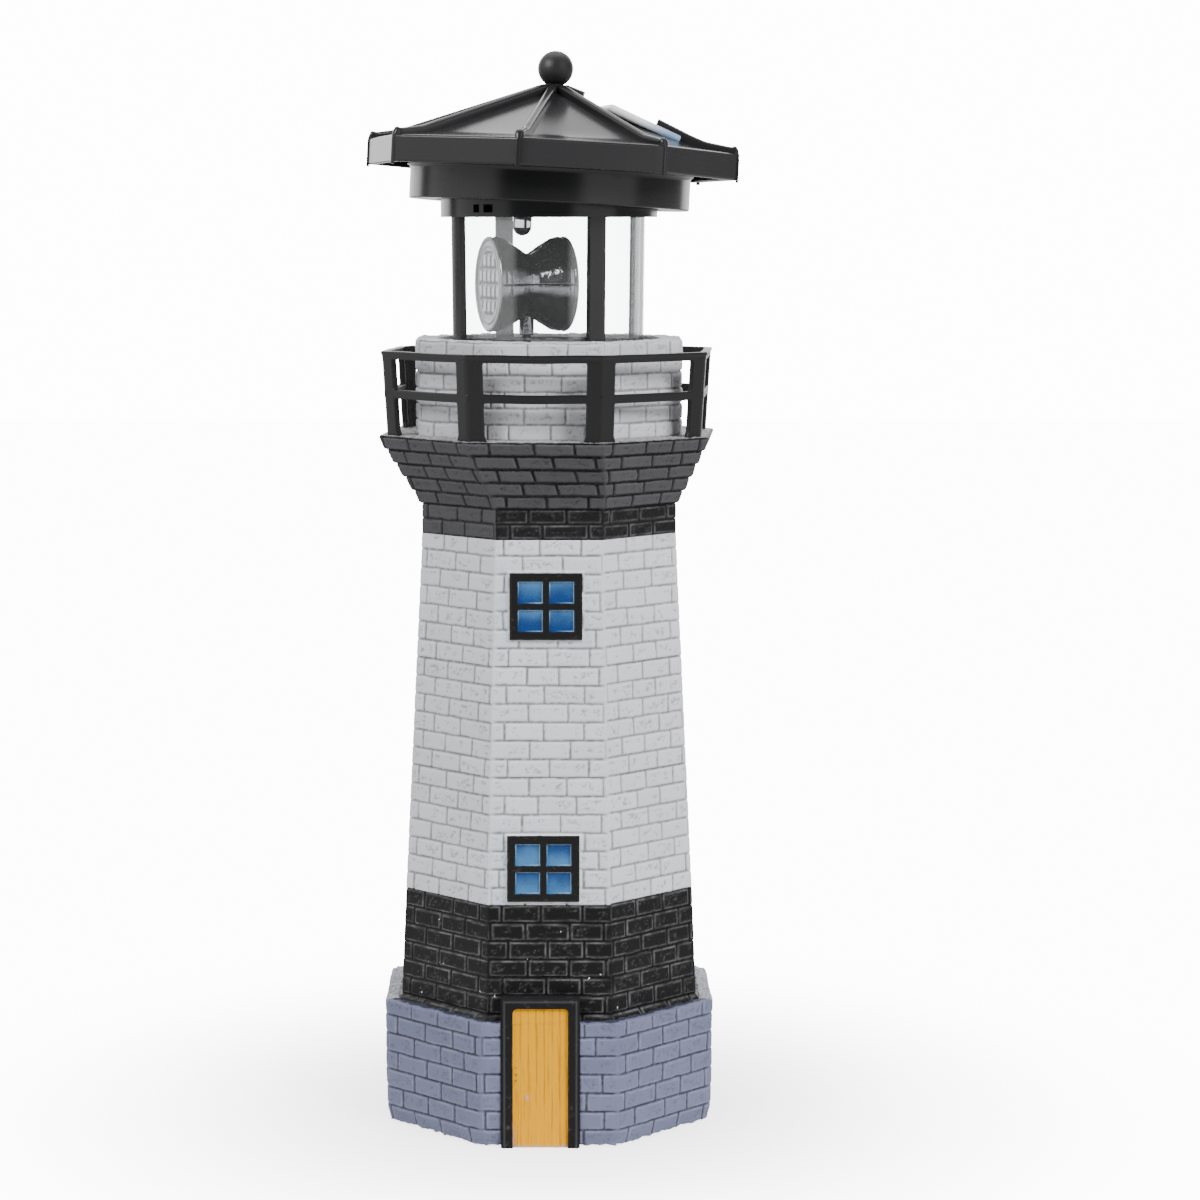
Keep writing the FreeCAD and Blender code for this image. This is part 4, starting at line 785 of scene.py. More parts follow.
class LIGHTHOUSE_OT_corbel(bpy.types.Operator):
    """Black neck and corbel, whose courses step out and twist up to the gallery, and the pale gallery deck"""

    bl_idname = "lighthouse.corbel"
    bl_label = "Corbel and deck"

    def execute(self, context):
        tower = context.scene.lighthouse_tower
        columns, neck, masks, _, _ = wall_stage(tower, SHAFT_HEAD, CORBEL_FOOT, HEAD_HALF, HEAD_HALF, 4.0,
                                                SHAFT_HEAD, 301)
        # The grey of the corbel paint is a painted sheen. Three facets of the neck, front and right, are plain
        # black without it, joints and all.
        without_sheen = np.isin(columns[0], (0, 1, 2))[None]
        masks["joint"] = np.maximum(masks["joint"], without_sheen * 1.0)
        masks["edge"] = masks["edge"] * np.where(without_sheen, 1.0, 0.1)
        courses, course, deck_rows = 5, 3.6, 26
        z = rows_between(CORBEL_FOOT, DECK, tower.grid * 0.8)[1:]
        share = (z - CORBEL_FOOT) / (DECK - CORBEL_FOOT)
        row = np.minimum(np.floor(share * courses), courses - 1)
        stepped = (row + 0.35 + 0.65 * (share * courses - row)) / courses
        half = HEAD_HALF + (44.0 - HEAD_HALF) * stepped
        turn = GALLERY_TURN * smooth(share)
        x = facet_place(columns, half, 1.0)
        relief, flare = brickwork(columns[0][None], x, z[:, None] - CORBEL_FOOT, course, tower.brick * 1.02,
                                  401, depth=0.7, joint_width=0.5)
        relief, flare = ease_corners(half, x, relief, flare)
        flare["edge"] = flare["edge"] * 0.3
        corbel = octagon(columns, half, z, corner=1.0, turn=turn, lift=relief)
        out = np.linspace(43.8, 34.4, deck_rows)
        deck = octagon(columns, out, np.full(deck_rows, DECK), turn=np.full(deck_rows, GALLERY_TURN))
        rough = mottle(deck[..., 0] * 0.7, deck[..., 1] * 0.7, 43, 3)
        deck[..., 2] += 0.22 * rough + 0.2
        deck[0, :, 2] -= 0.2
        pale = smooth((43.6 - out[:, None]) / 0.8 + 0.3 * rough)
        top = blank(deck.shape[:2], spray=pale, tone=0.5 + 0.5 * rough)
        inner = closing_rows(columns, 32.8, SHAFT_HEAD, 185.0, (0.0, GALLERY_TURN))
        # The corbel paint is dark grey, a painted sheen on black bricks.
        finish = masonry_paint("corbel_paint_with_sheen", (0.068, 0.068, 0.074), (0.002, 0.002, 0.002),
                               (0.24, 0.24, 0.25), 0.40, 0.40, tint=(0.50, 0.50, 0.49), mark_shade=0.75)
        tower_piece("corbel_and_deck", finish, (neck, masks), (corbel, flare), (deck, top), inner)
        return {"FINISHED"}


class LIGHTHOUSE_OT_pedestal(bpy.types.Operator):
    """White brick pedestal of the lantern, with rounded corners and a ragged rim round its bore"""

    bl_idname = "lighthouse.pedestal"
    bl_label = "Pedestal"

    def execute(self, context):
        tower = context.scene.lighthouse_tower
        corner, rim_height = 12.0, 211.5
        columns = octagon_columns(int(20 / tower.grid), 22)
        z = rows_between(185.8, 211.2, tower.grid)
        half = np.full(len(z), 35.6)
        x = facet_place(columns, half, corner)
        relief, masks = brickwork(columns[0][None], x, z[:, None] - rim_height, 4.25, tower.brick, 501)
        relief, masks = ease_corners(half + 1.0, x, relief, masks)
        wall = octagon(columns, half, z, corner=corner, lift=relief)
        rag = mottle(columns[0] * 7.0 + x[-1] * 0.45, 0 * x[-1], 13, 3)
        wall[-3:, :, 2] += 0.35 * rag * np.array([[0.2], [0.5], [0.9]])
        outer = octagon(columns, [35.3], [rim_height], corner=corner)[0]
        angle = np.arctan2(outer[:, 1], outer[:, 0])
        inner = np.concatenate([29.95 * direction(angle), np.full((len(angle), 1), rim_height)], axis=1)
        share = np.linspace(0.0, 1.0, 16)[:, None, None]
        rim = outer * (1 - share) + inner * share
        rough = mottle(rim[..., 0] * 0.7, rim[..., 1] * 0.7, 47, 3)
        rim[..., 2] += 0.25 * rough + 0.35 * rag * (1 - share[..., 0])
        bore = np.repeat(inner[None], 3, axis=0)
        bore[:, :, 2] = np.array([210.6, 208.5, 207.0])[:, None]
        # The pedestal's white is dimmed to 0.84 as painted shade.
        tower_piece("pedestal", white_paint(tower, "pedestal_shaded_paint", 0.84), (wall, masks),
                    (rim, blank(rim.shape[:2], tone=0.5 + 0.5 * rough)), (bore, blank(bore.shape[:2])),
                    closing_rows(columns, 31.5, 185.9, 206.9))
        return {"FINISHED"}


# ---------------------------------------------------------------- door and windows


def slab(skin, width, height, step, face, back):
    """A slab on the XZ plane. face(x, z) gives how far its front stands out and its paint masks. One ring of
    points behind the edge makes the sides, and a last ring drawn in to the middle closes the back."""
    x = np.linspace(-width / 2, width / 2, int(width / step) + 1)
    z = np.linspace(-height / 2, height / 2, int(height / step) + 1)
    x, z = np.meshgrid(x, z)
    proud, masks = face(x, z)
    points = np.pad(np.stack([x, -proud, z], axis=-1), ((1, 1), (1, 1), (0, 0)), mode="edge")
    points[[0, -1], :, 1] = points[:, [0, -1], 1] = back
    points = np.pad(points, ((1, 1), (1, 1), (0, 0)))
    points[[0, -1]] = points[:, [0, -1]] = (0.0, back, 0.0)
    for name, value in masks.items():
        masks[name] = np.pad(np.broadcast_to(value, x.shape), 2, mode="edge")
    skin.grid(points, **masks)


def window_face(x, z):
    """A frame with a cross of bars round four panes: plateaus with soft edges, panes hollow in the middle."""
    bar_width, border = 1.7, 2.15
    side = WINDOW_WIDTH / 2 - np.abs(x)
    top = WINDOW_HEIGHT / 2 - np.abs(z)
    into_x = np.minimum(side - border, np.abs(x) - bar_width / 2)
    into_z = np.minimum(top - border, np.abs(z) - bar_width / 2)
    into = np.minimum(into_x, into_z) + 0.06 * mottle(x * 1.5, z * 1.5, 61, 2)
    pane = smooth(into / 0.16 + 0.5)
    frame_height = 1.05 - 0.25 * smooth(1 - np.minimum(side, top) / 0.5)
    frame_height = frame_height + 0.04 * mottle(x * 1.2, z * 1.2, 63, 2)
    glass_height = 0.45 - 0.1 * smooth(into / 2.0) + 0.05 * mottle(x * 0.8, z * 0.8, 67, 2)
    proud = frame_height * (1 - pane) + glass_height * pane
    height = np.clip(np.where(z > 0, z - 0.9, z + 6.5) / 5.6, 0, 1)
    far = np.clip(np.where(x > 0, x - 0.9, x + 7.3) / 6.4, 0, 1)
    rim = smooth(1 - (into - 0.08) / 0.26) * pane * smooth((far + height) * 1.2 - 0.2)
    return proud, {"pane": pane, "pane_height": height, "pane_rim": rim}


class LIGHTHOUSE_OT_windows(bpy.types.Operator):
    """Two cast windows with black frames and blue panes"""

    bl_idname = "lighthouse.windows"
    bl_label = "Windows"

    def execute(self, context):
        tower = context.scene.lighthouse_tower
        finish = window_paint((0.007, 0.007, 0.007), tuple(tower.pane), tuple(tower.sky), (0.42, 0.68, 0.85))
        lean = math.atan2(FOOT_HALF - HEAD_HALF, SHAFT_HEAD - SHAFT_FOOT)
        for name, (x, z, width, height) in zip(("window_upper", "window_lower"), WINDOWS):
            skin = Skin()
            slab(skin, width, height, 0.16, window_face, 1.2)
            lower = name == "window_lower"
            skin.values["pane_height"] = [1 - 0.8 * value if lower else 0.7 * value
                                          for value in skin.values["pane_height"]]
            place = shifted(x, -wall_half(z), z) @ turned(0, -lean)
            skin.piece(name, finish, "tower", "painted_resin", "tower_casting", place=place, merge=True)
        return {"FINISHED"}


def door_face(x, z):
    """A frame round a door with soft top corners: plateaus with soft edges. Boards of one width are parted by
    shallow grooves that wander a little."""
    half_door, top, corner, board = 7.25, 17.3, 1.2, 2.08
    half_width, half_height = DOOR_WIDTH / 2, DOOR_HEIGHT / 2
    side = half_door - np.abs(x)
    over = top - z
    round_off = np.hypot(np.maximum(corner - side, 0), np.maximum(corner - over, 0))
    into = np.where((side < corner) & (over < corner), corner - round_off, np.minimum(side, over))
    into = into + 0.10 * mottle(x * 0.9, z * 0.5, 71, 3)
    door = smooth(into / 0.2 + 0.5)
    wander = x + 0.16 * mottle(x * 0.2, z * 0.12, 73, 2)
    boards = (wander + 7.3) / board
    gap = np.abs(boards - np.round(boards)) * board
    worn = 0.35 + 0.65 * smooth(2.2 * mottle(x * 0.3, z * 0.09, 79, 2) + 0.6)
    plank = smooth(1 - gap / 0.2) * worn * door
    edge = np.minimum(half_width - np.abs(x), half_height - z)
    frame_height = 1.35 - 0.4 * smooth(1 - edge / 0.7) + 0.05 * mottle(x * 0.8, z * 0.8, 83, 2)
    frame_height = frame_height + 0.18 * np.exp(-(((edge - 0.9) / 0.3) ** 2))
    door_height = 0.55 - 0.22 * plank + 0.05 * mottle(x * 1.4, z * 0.3, 89, 2)
    proud = frame_height * (1 - door) + door_height * door
    spots = smooth((mottle(x * 1.6, z * 1.4, 97, 2) - 0.28) * 8)
    chip = spots * smooth(1 - np.abs(x + 6.4) / 0.7) * smooth(1 - np.abs(z - 2.0) / 9.0) * door
    low = smooth(1 - (z + half_height - 0.5 * mottle(x * 0.8, 0 * x, 98, 2)) / 0.9)
    corner_wear = smooth(1 - (x + 7.35) / 1.3) * smooth(1 - (z + half_height) / 9.0)
    spot = np.exp(-(((x + 3.4) / 0.5) ** 2) - ((z + 6.6) / 0.7) ** 2)
    spot = spot * smooth(3 * mottle(x * 3, z * 3, 99) + 0.5)
    scuff = np.maximum(np.maximum(low, 0.8 * corner_wear), spot) * door
    outline = np.exp(-(((edge - 0.9) / 0.25) ** 2)) * (1 - door)
    return proud, {"door": door, "plank": plank, "chip": chip, "scuff": scuff, "outline": outline}


class LIGHTHOUSE_OT_door(bpy.types.Operator):
    """Yellow boarded door in a black frame"""

    bl_idname = "lighthouse.door"
    bl_label = "Door"

    def execute(self, context):
        tower = context.scene.lighthouse_tower
        skin = Skin()
        slab(skin, DOOR_WIDTH, DOOR_HEIGHT, 0.18, door_face, 4.6)
        place = shifted(DOOR_X, -43.5, DOOR_HEIGHT / 2)
        finish = door_paint((0.014, 0.014, 0.015), tuple(tower.door), (0.50, 0.16, 0.004))
        skin.piece("door", finish, "tower", "painted_resin", "tower_casting", place=place, merge=True)
        return {"FINISHED"}


# ---------------------------------------------------------------- railing and lantern


CAP = shifted(0, 0, 247.1) @ turned(1, math.radians(2.8)) @ turned(0, math.radians(-0.9))
ROOF = CAP @ turned(2, math.radians(-9.7))
BEAM = shifted(-6.06, 0, 225.9) @ turned(2, math.radians(17.0))


def rail_half(z):
    """Half width of the railing's outer face, which leans out from the deck to its top."""
    return 41.8 + 1.3 * (z - DECK) / 22.5


class LIGHTHOUSE_OT_railing(bpy.types.Operator):
    """Octagonal gallery railing: two rails and eight bent corner posts"""

    bl_idname = "lighthouse.railing"
    bl_label = "Gallery railing"

    def execute(self, context):
        skin = Skin()
        columns = octagon_columns(10, 4)
        (low_z, top_z), (foot_z, head_z) = TOP_RAIL, MIDDLE_RAIL
        low, lip, top, foot, head = (rail_half(z) for z in (low_z, 207.7, top_z, foot_z, head_z))
        upper = [(low, low_z), (lip, 207.5), (lip + 0.25, 207.7), (top + 0.25, top_z),
                 (top - RAIL_WALL, top_z), (low - RAIL_WALL, low_z)]
        middle = [(foot, foot_z), (head, head_z), (head - RAIL_WALL, head_z), (foot - RAIL_WALL, foot_z)]
        for section, radius in ((upper, 0.22), (middle, 0.4)):
            half, z = filleted(section, radius).T
            sag = 0.12 * mottle(columns[0] * 3.1 + columns[1] * 1.4, 0 * columns[1], 7)
            rail = octagon(columns, half, z, corner=1.0, turn=GALLERY_TURN)
            rail[..., 2] += sag[None]
            skin.grid(rail, round_rows=True, round_columns=True)
        z = np.concatenate([[185.7], rows_between(185.7, 206.9, 0.2), [206.9]])
        ease = 0.45
        reach = 4.3 + sum(ease - np.sqrt(np.maximum(ease**2 - (ease - np.clip(gap, 0, ease)) ** 2, 0))
                          for gap in (np.abs(low_z - z), np.abs(foot_z - z), np.abs(z - head_z)))
        reach = reach + 0.5 * smooth(1 - (z - DECK) / 2.0)
        outer, inner = rail_half(z), rail_half(z) - RAIL_WALL
        angle = np.arange(8) * EIGHTH + HALF_EIGHTH - math.pi / 2 + GALLERY_TURN
        back = -direction(angle - HALF_EIGHTH + math.pi / 2)[:, None]
        ahead = direction(angle + HALF_EIGHTH + math.pi / 2)[:, None]
        tip = (direction(angle)[:, None] * outer[None, :, None]) / FLAT
        root = (direction(angle)[:, None] * inner[None, :, None]) / FLAT
        arm, short = reach[None, :, None], (reach - RAIL_WALL * math.tan(HALF_EIGHTH))[None, :, None]
        outline = np.stack([tip + back * arm, tip, tip + ahead * arm,
                            root + ahead * short, root, root + back * short], axis=2)
        outline = filleted(outline, (0.5, 0.9, 0.5, 0.5, 0.6, 0.5), 3)
        outline[:, [0, -1]] = outline[:, [0, -1]].mean(axis=2, keepdims=True)
        level = np.broadcast_to(z[None, :, None, None], outline.shape[:3] + (1,))
        for post in np.concatenate([outline, level], axis=-1):
            skin.grid(post, round_columns=True)
        finish = moulded_plastic("railing_plastic", (0.005, 0.005, 0.0055), 0.33)
        skin.piece("railing", finish, "tower", "satin_black", "gallery_railing", merge=True)
        return {"FINISHED"}


class LIGHTHOUSE_OT_glass(bpy.types.Operator):
    """Clear tube of the lantern and the clear lamp over the reflector"""

    bl_idname = "lighthouse.glass"
    bl_label = "Clear tube and lamp"

    def execute(self, context):
        lantern = context.scene.lighthouse_lantern
        finish = clear_plastic("clear_plastic", (0.965, 0.975, 0.98), 0.015)
        skin = Skin()
        loop = filleted([(25.5, 209.8), (25.9, 246.9), (24.7, 246.9), (24.3, 209.8)], 0.3)
        skin.grid(lathe(loop, lantern.sides), round_rows=True, round_columns=True)
        skin.piece("clear_tube_shell", finish, "tower", "clear_plastic", "clear_tube")
        skin = Skin()
        bend = np.linspace(0.0, math.pi / 2, 14)
        dome = np.stack([2.5 * np.sin(bend), -6.1 - 2.5 * np.cos(bend)], axis=-1)
        body = np.concatenate([dome, [(2.5, -5.0), (2.5, -1.15), (2.55, -1.02), (2.85, -1.0), (2.9, -0.95),
                                      (2.9, -0.1), (2.85, 0.0), (2.0, 0.0), (0.0, 0.0)]])
        skin.grid(lathe(body, 48, (-6.9, 0.0)), round_columns=True)
        skin.piece("lamp_body", lamp_plastic("lamp_plastic", (0.93, 0.94, 0.95)), "roof_cap", "clear_plastic",
                   "lamp_led", place=CAP, merge=True)
        return {"FINISHED"}


def bobbin_radius(x):
    """Outer radius of the reflector along its beam: two rims joined to a narrow waist by straight cones, with
    the corners eased by averaging the profile over a short stretch."""
    reach = np.linspace(-0.22, 0.22, 9)[:, None]
    knots = [-12, -10.2, -9.9, -9.2, -8.9, -7.0, -1.2, 1.2, 7.0, 8.9, 9.2, 9.9, 10.2, 12]
    radii = [12.8, 12.8, 12.45, 12.45, 12.75, 12.3, 8.9, 8.9, 12.3, 12.75, 12.45, 12.45, 12.8, 12.8]
    return np.interp(np.ravel(x)[None] + reach, knots, radii).mean(axis=0)


class LIGHTHOUSE_OT_reflector(bpy.types.Operator):
    """Chromed bobbin in two half shells, with a light hole on top and the hub below"""

    bl_idname = "lighthouse.reflector"
    bl_label = "Reflector"

    def execute(self, context):
        lantern = context.scene.lighthouse_lantern
        finish = chrome("chrome_plating", tuple(lantern.plating))
        end = 10.7
        x = np.sin(np.linspace(-math.pi / 2, math.pi / 2, 31)) * (end - 9.0)
        x = np.concatenate([x[:15] - 9.0, np.linspace(-8.8, 8.8, 90), x[16:] + 9.0])
        edge = 0.35 * (1 - np.sqrt(np.clip(1 - (1 - (end - np.abs(x)) / 0.35).clip(0, 1) ** 2, 0, 1)))
        outer, inner = bobbin_radius(x) - edge, np.minimum(bobbin_radius(x) - 0.9, 11.9) + edge * 0.5
        halves = (("reflector_top", 0.0, "upper_reflector"), ("reflector_foot", math.pi, "lower_reflector"))
        for name, first, node in halves:
            spin = first + np.linspace(0.014, math.pi - 0.014, 150)
            shrunk = smooth((np.abs(x) - 3.5) / 2.5)[:, None] * smooth(2.2 * np.sin(spin - first) - 0.9)[None]
            crease = 0.16 * mottle(x[:, None] * 1.3, spin[None] * 9.0, 311, 3) * shrunk
            crease = crease + 0.04 * mottle(x[:, None] * 0.5, spin[None] * 2.2 + 9.0, 313, 2)
            lap = smooth(1 - np.minimum(spin - first, first + math.pi - spin) / 0.018)[None]
            out = outer[:, None] + crease * smooth((9.8 - np.abs(x)) / 0.6)[:, None] - 0.12 * lap
            into = inner[:, None] + 0.12 * lap
            hole = np.hypot(x[:, None], (spin[None] - math.pi / 2) * 9.4)
            # The light hole is a dent whose inside is painted black as shade.
            well = smooth((4.0 - hole) / 0.35) if node == "upper_reflector" else 0.0 * hole
            out = out * (1 - well) + (into + 0.1) * well
            middle = (outer + inner)[:, None] / 2
            out = np.concatenate([middle, out, middle], axis=1)
            into = np.concatenate([middle, into, middle], axis=1)
            angle = np.concatenate([[spin[0]], spin, [spin[-1]]])
            radius = np.concatenate([out, into[::-1]])
            place_x = np.concatenate([x, x[::-1]])[:, None] + 0 * radius
            points = np.stack([place_x, radius * np.cos(angle), radius * np.sin(angle)], axis=-1)
            dark = np.pad(well, ((0, len(x)), (1, 1)))
            # Painted dark reflection: the shells darken away from a band along the split line, which is wider
            # on the top shell, and not on the rims.
            bright = 0.28 if node == "upper_reflector" else 0.10
            dull = smooth((np.abs(np.sin(angle)) - bright) / 0.2) * smooth((10.4 - np.abs(place_x)) / 0.8)
            skin = Skin()
            skin.grid(points, round_rows=True, well=dark, dull=dull)
            if node == "lower_reflector":
                post = filleted([(2.0, -13.6), (2.0, -8.6), (0.3, -8.6), (0.3, -13.6)], (0.25, 0.1, 0.1, 0.1))
                skin.grid(lathe(post, 48), round_rows=True, round_columns=True, well=0.0, dull=0.0)
            skin.piece(name, finish, "reflector", "chrome_plating", node, place=BEAM, merge=True)
        return {"FINISHED"}


class LIGHTHOUSE_OT_lenses(bpy.types.Operator):
    """Clear end lenses of the reflector, moulded with pillowed squares inside a bead"""

    bl_idname = "lighthouse.lenses"
    bl_label = "Lenses"

    def execute(self, context):
        finish = lens_plastic("lens_plastic", (0.75, 0.77, 0.80))
        spin = np.linspace(0, 2 * math.pi, 150, endpoint=False)
        radius = np.concatenate([[0.0], np.linspace(0.25, 12.5, 70), [12.6, 12.6]])[:, None]
        y, z = radius * np.cos(spin), radius * np.sin(spin)
        squares = (y / LENS_SQUARE + 0.5, z / LENS_SQUARE + 0.0)
        gap = np.minimum(*(np.abs(square - np.round(square)) * LENS_SQUARE for square in squares))
        inside = smooth((9.4 - radius) / 0.9) + 0 * gap
        bead = np.exp(-((radius - 12.15) / 0.33) ** 2) + 0.35 * np.exp(-((radius - 10.3) / 0.2) ** 2)
        bead = bead + 0 * gap
        rise = 10.55 + inside * (0.35 * smooth(gap / 0.9) - 0.3) + 0.5 * bead
        rise[-2:] = [[10.8], [10.1]]
        seam = smooth(1 - gap / 0.35) * inside * (0.6 + 0.4 * mottle(y * 0.9, z * 0.9, 331))
        pillow = smooth(gap / 1.4) * inside + 0.35 * (1 - inside)
        back = np.stack([0 * y[:1] + 10.1, 0 * y[:1], 0 * z[:1]], axis=-1)
        for name, side in (("beam_lens_left", -1.0), ("beam_lens_right", 1.0)):
            points = np.concatenate([np.stack([rise, y, z], axis=-1), back]) * [side, 1, 1]
            masks = {"seam": seam, "pillow": pillow, "bead": bead}
            masks = {mask: np.concatenate([value, seam[:1] * 0]) for mask, value in masks.items()}
            skin = Skin()
            skin.grid(points, round_columns=True, flip=side > 0, **masks)
            skin.piece(name + "_disc", finish, "reflector", "clear_plastic", name, place=BEAM, merge=True)
        return {"FINISHED"}


# ---------------------------------------------------------------- solar roof


class LIGHTHOUSE_OT_drum(bpy.types.Operator):
    """Round gloss-black drum under the roof, with eased edges, a step, and a slot for the switch's knob"""

    bl_idname = "lighthouse.drum"
    bl_label = "Battery drum"

    def execute(self, context):
        lantern = context.scene.lighthouse_lantern
        outline = [(30.4, 0.0), (37.6, 0.0), (37.6, 8.5), (38.4, 8.9), (38.4, 14.2), (36.4, 14.2),
                   (35.6, 5.4), (30.4, 5.4)]
        loop = filleted(outline, (0.3, 0.3, 0.9, 0.2, 0.3, 0.2, 0.2, 0.2), 5)
        skin = Skin()
        skin.grid(lathe(loop, lantern.sides), round_rows=True, round_columns=True)
        way = direction(np.linspace(0, 2 * math.pi, lantern.sides, endpoint=False))
        slot = way / np.maximum(np.abs(way[:, :1]) / 2.3, np.abs(way[:, 1:]) / 0.9) + (9.5, -8.5)
        rim = way * 31.0
        floor_plate = np.stack([np.pad(ring, ((0, 0), (0, 1)), constant_values=z)
                                for ring, z in ((slot, 3.8), (rim, 3.8), (rim, 5.3), (slot, 5.3))])
        skin.grid(floor_plate, round_rows=True, round_columns=True)
        skin.piece("drum", gloss_black(lantern), "roof_cap", "gloss_black", "battery_drum", place=CAP,
                   sharp=40)
        return {"FINISHED"}


def gloss_black(lantern):
    """The roof's gloss plastic, made once."""
    if "gloss_black_plastic" in bpy.data.materials:
        return bpy.data.materials["gloss_black_plastic"]
    return moulded_plastic("gloss_black_plastic", tuple(lantern.plastic), 0.2)


ROOF_LINE = [(50.3, 15.6), (41.0, 16.5), (37.0, 17.7), (3.0, 29.7)]


def roof_height(radius):
    """Height of the roof over a hip: straight between the eave, the flare, the knee and the top."""
    far, high = np.array(ROOF_LINE[::-1]).T
    return np.interp(radius, far, high)


class LIGHTHOUSE_OT_roof(bpy.types.Operator):
    """Octagonal roof canopy with a flared eave, and its ball"""

    bl_idname = "lighthouse.roof"
    bl_label = "Roof and ball"

    def execute(self, context):
        lantern = context.scene.lighthouse_lantern
        outline = [(48.5, 8.6), (50.3, 8.6), *ROOF_LINE, (0.6, 29.75), (0.6, 27.9), (3.0, 27.7), (37.0, 15.9),
                   (41.0, 14.7), (48.5, 13.8)]
        radius, z = filleted(outline, (0.4, 0.5, 0.7, 3.5, 5.0, 1.0, 0.1, 0.1, 1.0, 3.0, 3.0, 0.5), 5).T
        half = radius * FLAT
        roof = octagon(octagon_columns(16, 3), half, z, corner=np.minimum(0.9, half * 0.8), turn=HALF_EIGHTH)
        skin = Skin()
        skin.grid(roof, round_rows=True, round_columns=True)
        skin.piece("roof_canopy", gloss_black(lantern), "roof_cap", "gloss_black", "roof_shell", place=ROOF)
        bend = np.linspace(-math.acos(2.35 / 4.75), math.pi / 2, 26)
        ball = np.stack([4.75 * np.cos(bend), 36.1 + 4.75 * np.sin(bend)], axis=-1)
        stem = [(0.0, 28.8), (2.7, 28.8), (2.6, 29.7), (1.9, 30.05), (1.6, 30.5), (1.55, 31.2), (1.7, 31.33),
                (2.2, 31.35), (2.35, 31.45), (2.35, 31.9)]
        skin = Skin()
        skin.grid(lathe(np.concatenate([stem, ball]), 96), round_columns=True)
        satin = moulded_plastic("ball_plastic", tuple(lantern.plastic), 0.46)
        skin.piece("ball", satin, "roof_cap", "gloss_black", "ball_finial", place=ROOF, merge=True)
        return {"FINISHED"}


def hip_rib(angle, inner, outer, fascia):
    """A rib carried down the hip from one radius to another, and then down the fascia. Its section is a
    rounded rectangle whose height follows the distance from the middle; the normal of the path in the
    upright plane through the hip is its upward direction."""
    line = [(radius, float(roof_height(radius))) for radius in (inner, 3.0, 37.0, 41.0, 50.3, outer)
            if inner <= radius <= outer]
    if fascia:
        line = line[:-1] + [(50.0, 15.65), (50.35, 15.3), (50.35, 8.0)]
    path = along(line, int(8 + (outer - inner) * 2.2))
    blur = np.pad(path, ((2, 2), (0, 0)), mode="edge")
    path[1:-1] = sum(blur[k:k + len(path)] for k in range(5))[1:-1] / 5
    step = np.gradient(path, axis=0)
    step = step / np.linalg.norm(step, axis=1, keepdims=True)
    rise = np.stack([-step[:, 1], step[:, 0]], axis=-1)
    start = 2.3 if inner < 20 else 3.1
    tall = np.interp(path[:, 0], [3.0, 27.5, 37.0, 49.3, 50.1], [2.3, start, 2.3, 1.5, 0.25])
    knob = 0.5 * np.exp(-((path[:, 0] - 49.3) / 0.7) ** 2) * (path[:, 1] > 15.0)
    wide = np.interp(path[:, 0], [3.0, 37.0, 49.5, 50.2], [1.15, 1.15, 1.0, 0.5]) + 0.2 * knob
    bend = np.linspace(0.0, math.pi, 13)
    flat = np.concatenate([[-1.0, 1.0], np.cos(bend)])
    across = flat[None] * wide[:, None]
    crown = np.concatenate([[0.0, 0.0], 0.45 + 0.55 * np.sin(bend) ** 0.8])
    up = crown[None] * (tall + knob)[:, None] - 0.4 * (crown[None] < 0.01)
    out = path[:, None, 0] + rise[:, None, 0] * up
    high = path[:, None, 1] + rise[:, None, 1] * up
    radial, side = direction(angle), direction(angle + math.pi / 2)
    points = np.concatenate([out[..., None] * radial + across[..., None] * side, high[..., None]], axis=-1)
    ends = points[[0, -1]].mean(axis=1, keepdims=True) + 0 * points[[0, -1]]
    return np.concatenate([ends[:1], points, ends[1:]])


class LIGHTHOUSE_OT_ribs(bpy.types.Operator):
    """Eight rounded hip ribs, which the solar panel interrupts on two hips"""

    bl_idname = "lighthouse.ribs"
    bl_label = "Hip ribs"

    def execute(self, context):
        lantern = context.scene.lighthouse_lantern
        skin = Skin()
        for number in range(8):
            angle = number * EIGHTH
            cut_by_panel = ((2.6, 7.5, False), (27.5, 50.3, True))
            for inner, outer, fascia in cut_by_panel if number < 2 else ((2.6, 50.3, True),):
                skin.grid(hip_rib(angle, inner, outer, fascia), round_columns=True)
        skin.piece("hip_ribs", gloss_black(lantern), "roof_cap", "gloss_black", "roof_shell", place=ROOF,
                   merge=True, sharp=60)
        return {"FINISHED"}


def panel_face(x, z):
    """A flat face with rounded edges, and the place along and across it as masks for the cell's lines."""
    half_length, half_width = PANEL_LENGTH / 2, PANEL_WIDTH / 2
    edge = np.minimum(half_length - np.abs(x), half_width - np.abs(z))
    proud = 0.8 - 0.35 * smooth(1 - edge / 0.35) + 0.06 * smooth(1 - np.abs(edge - 0.9) / 0.4)
    rim = smooth(1 - (edge - 0.9) / 0.25)
    return proud, {"panel_length": (x + half_length) / PANEL_LENGTH,
                   "panel_width": (z + half_width) / PANEL_WIDTH, "panel_rim": rim}


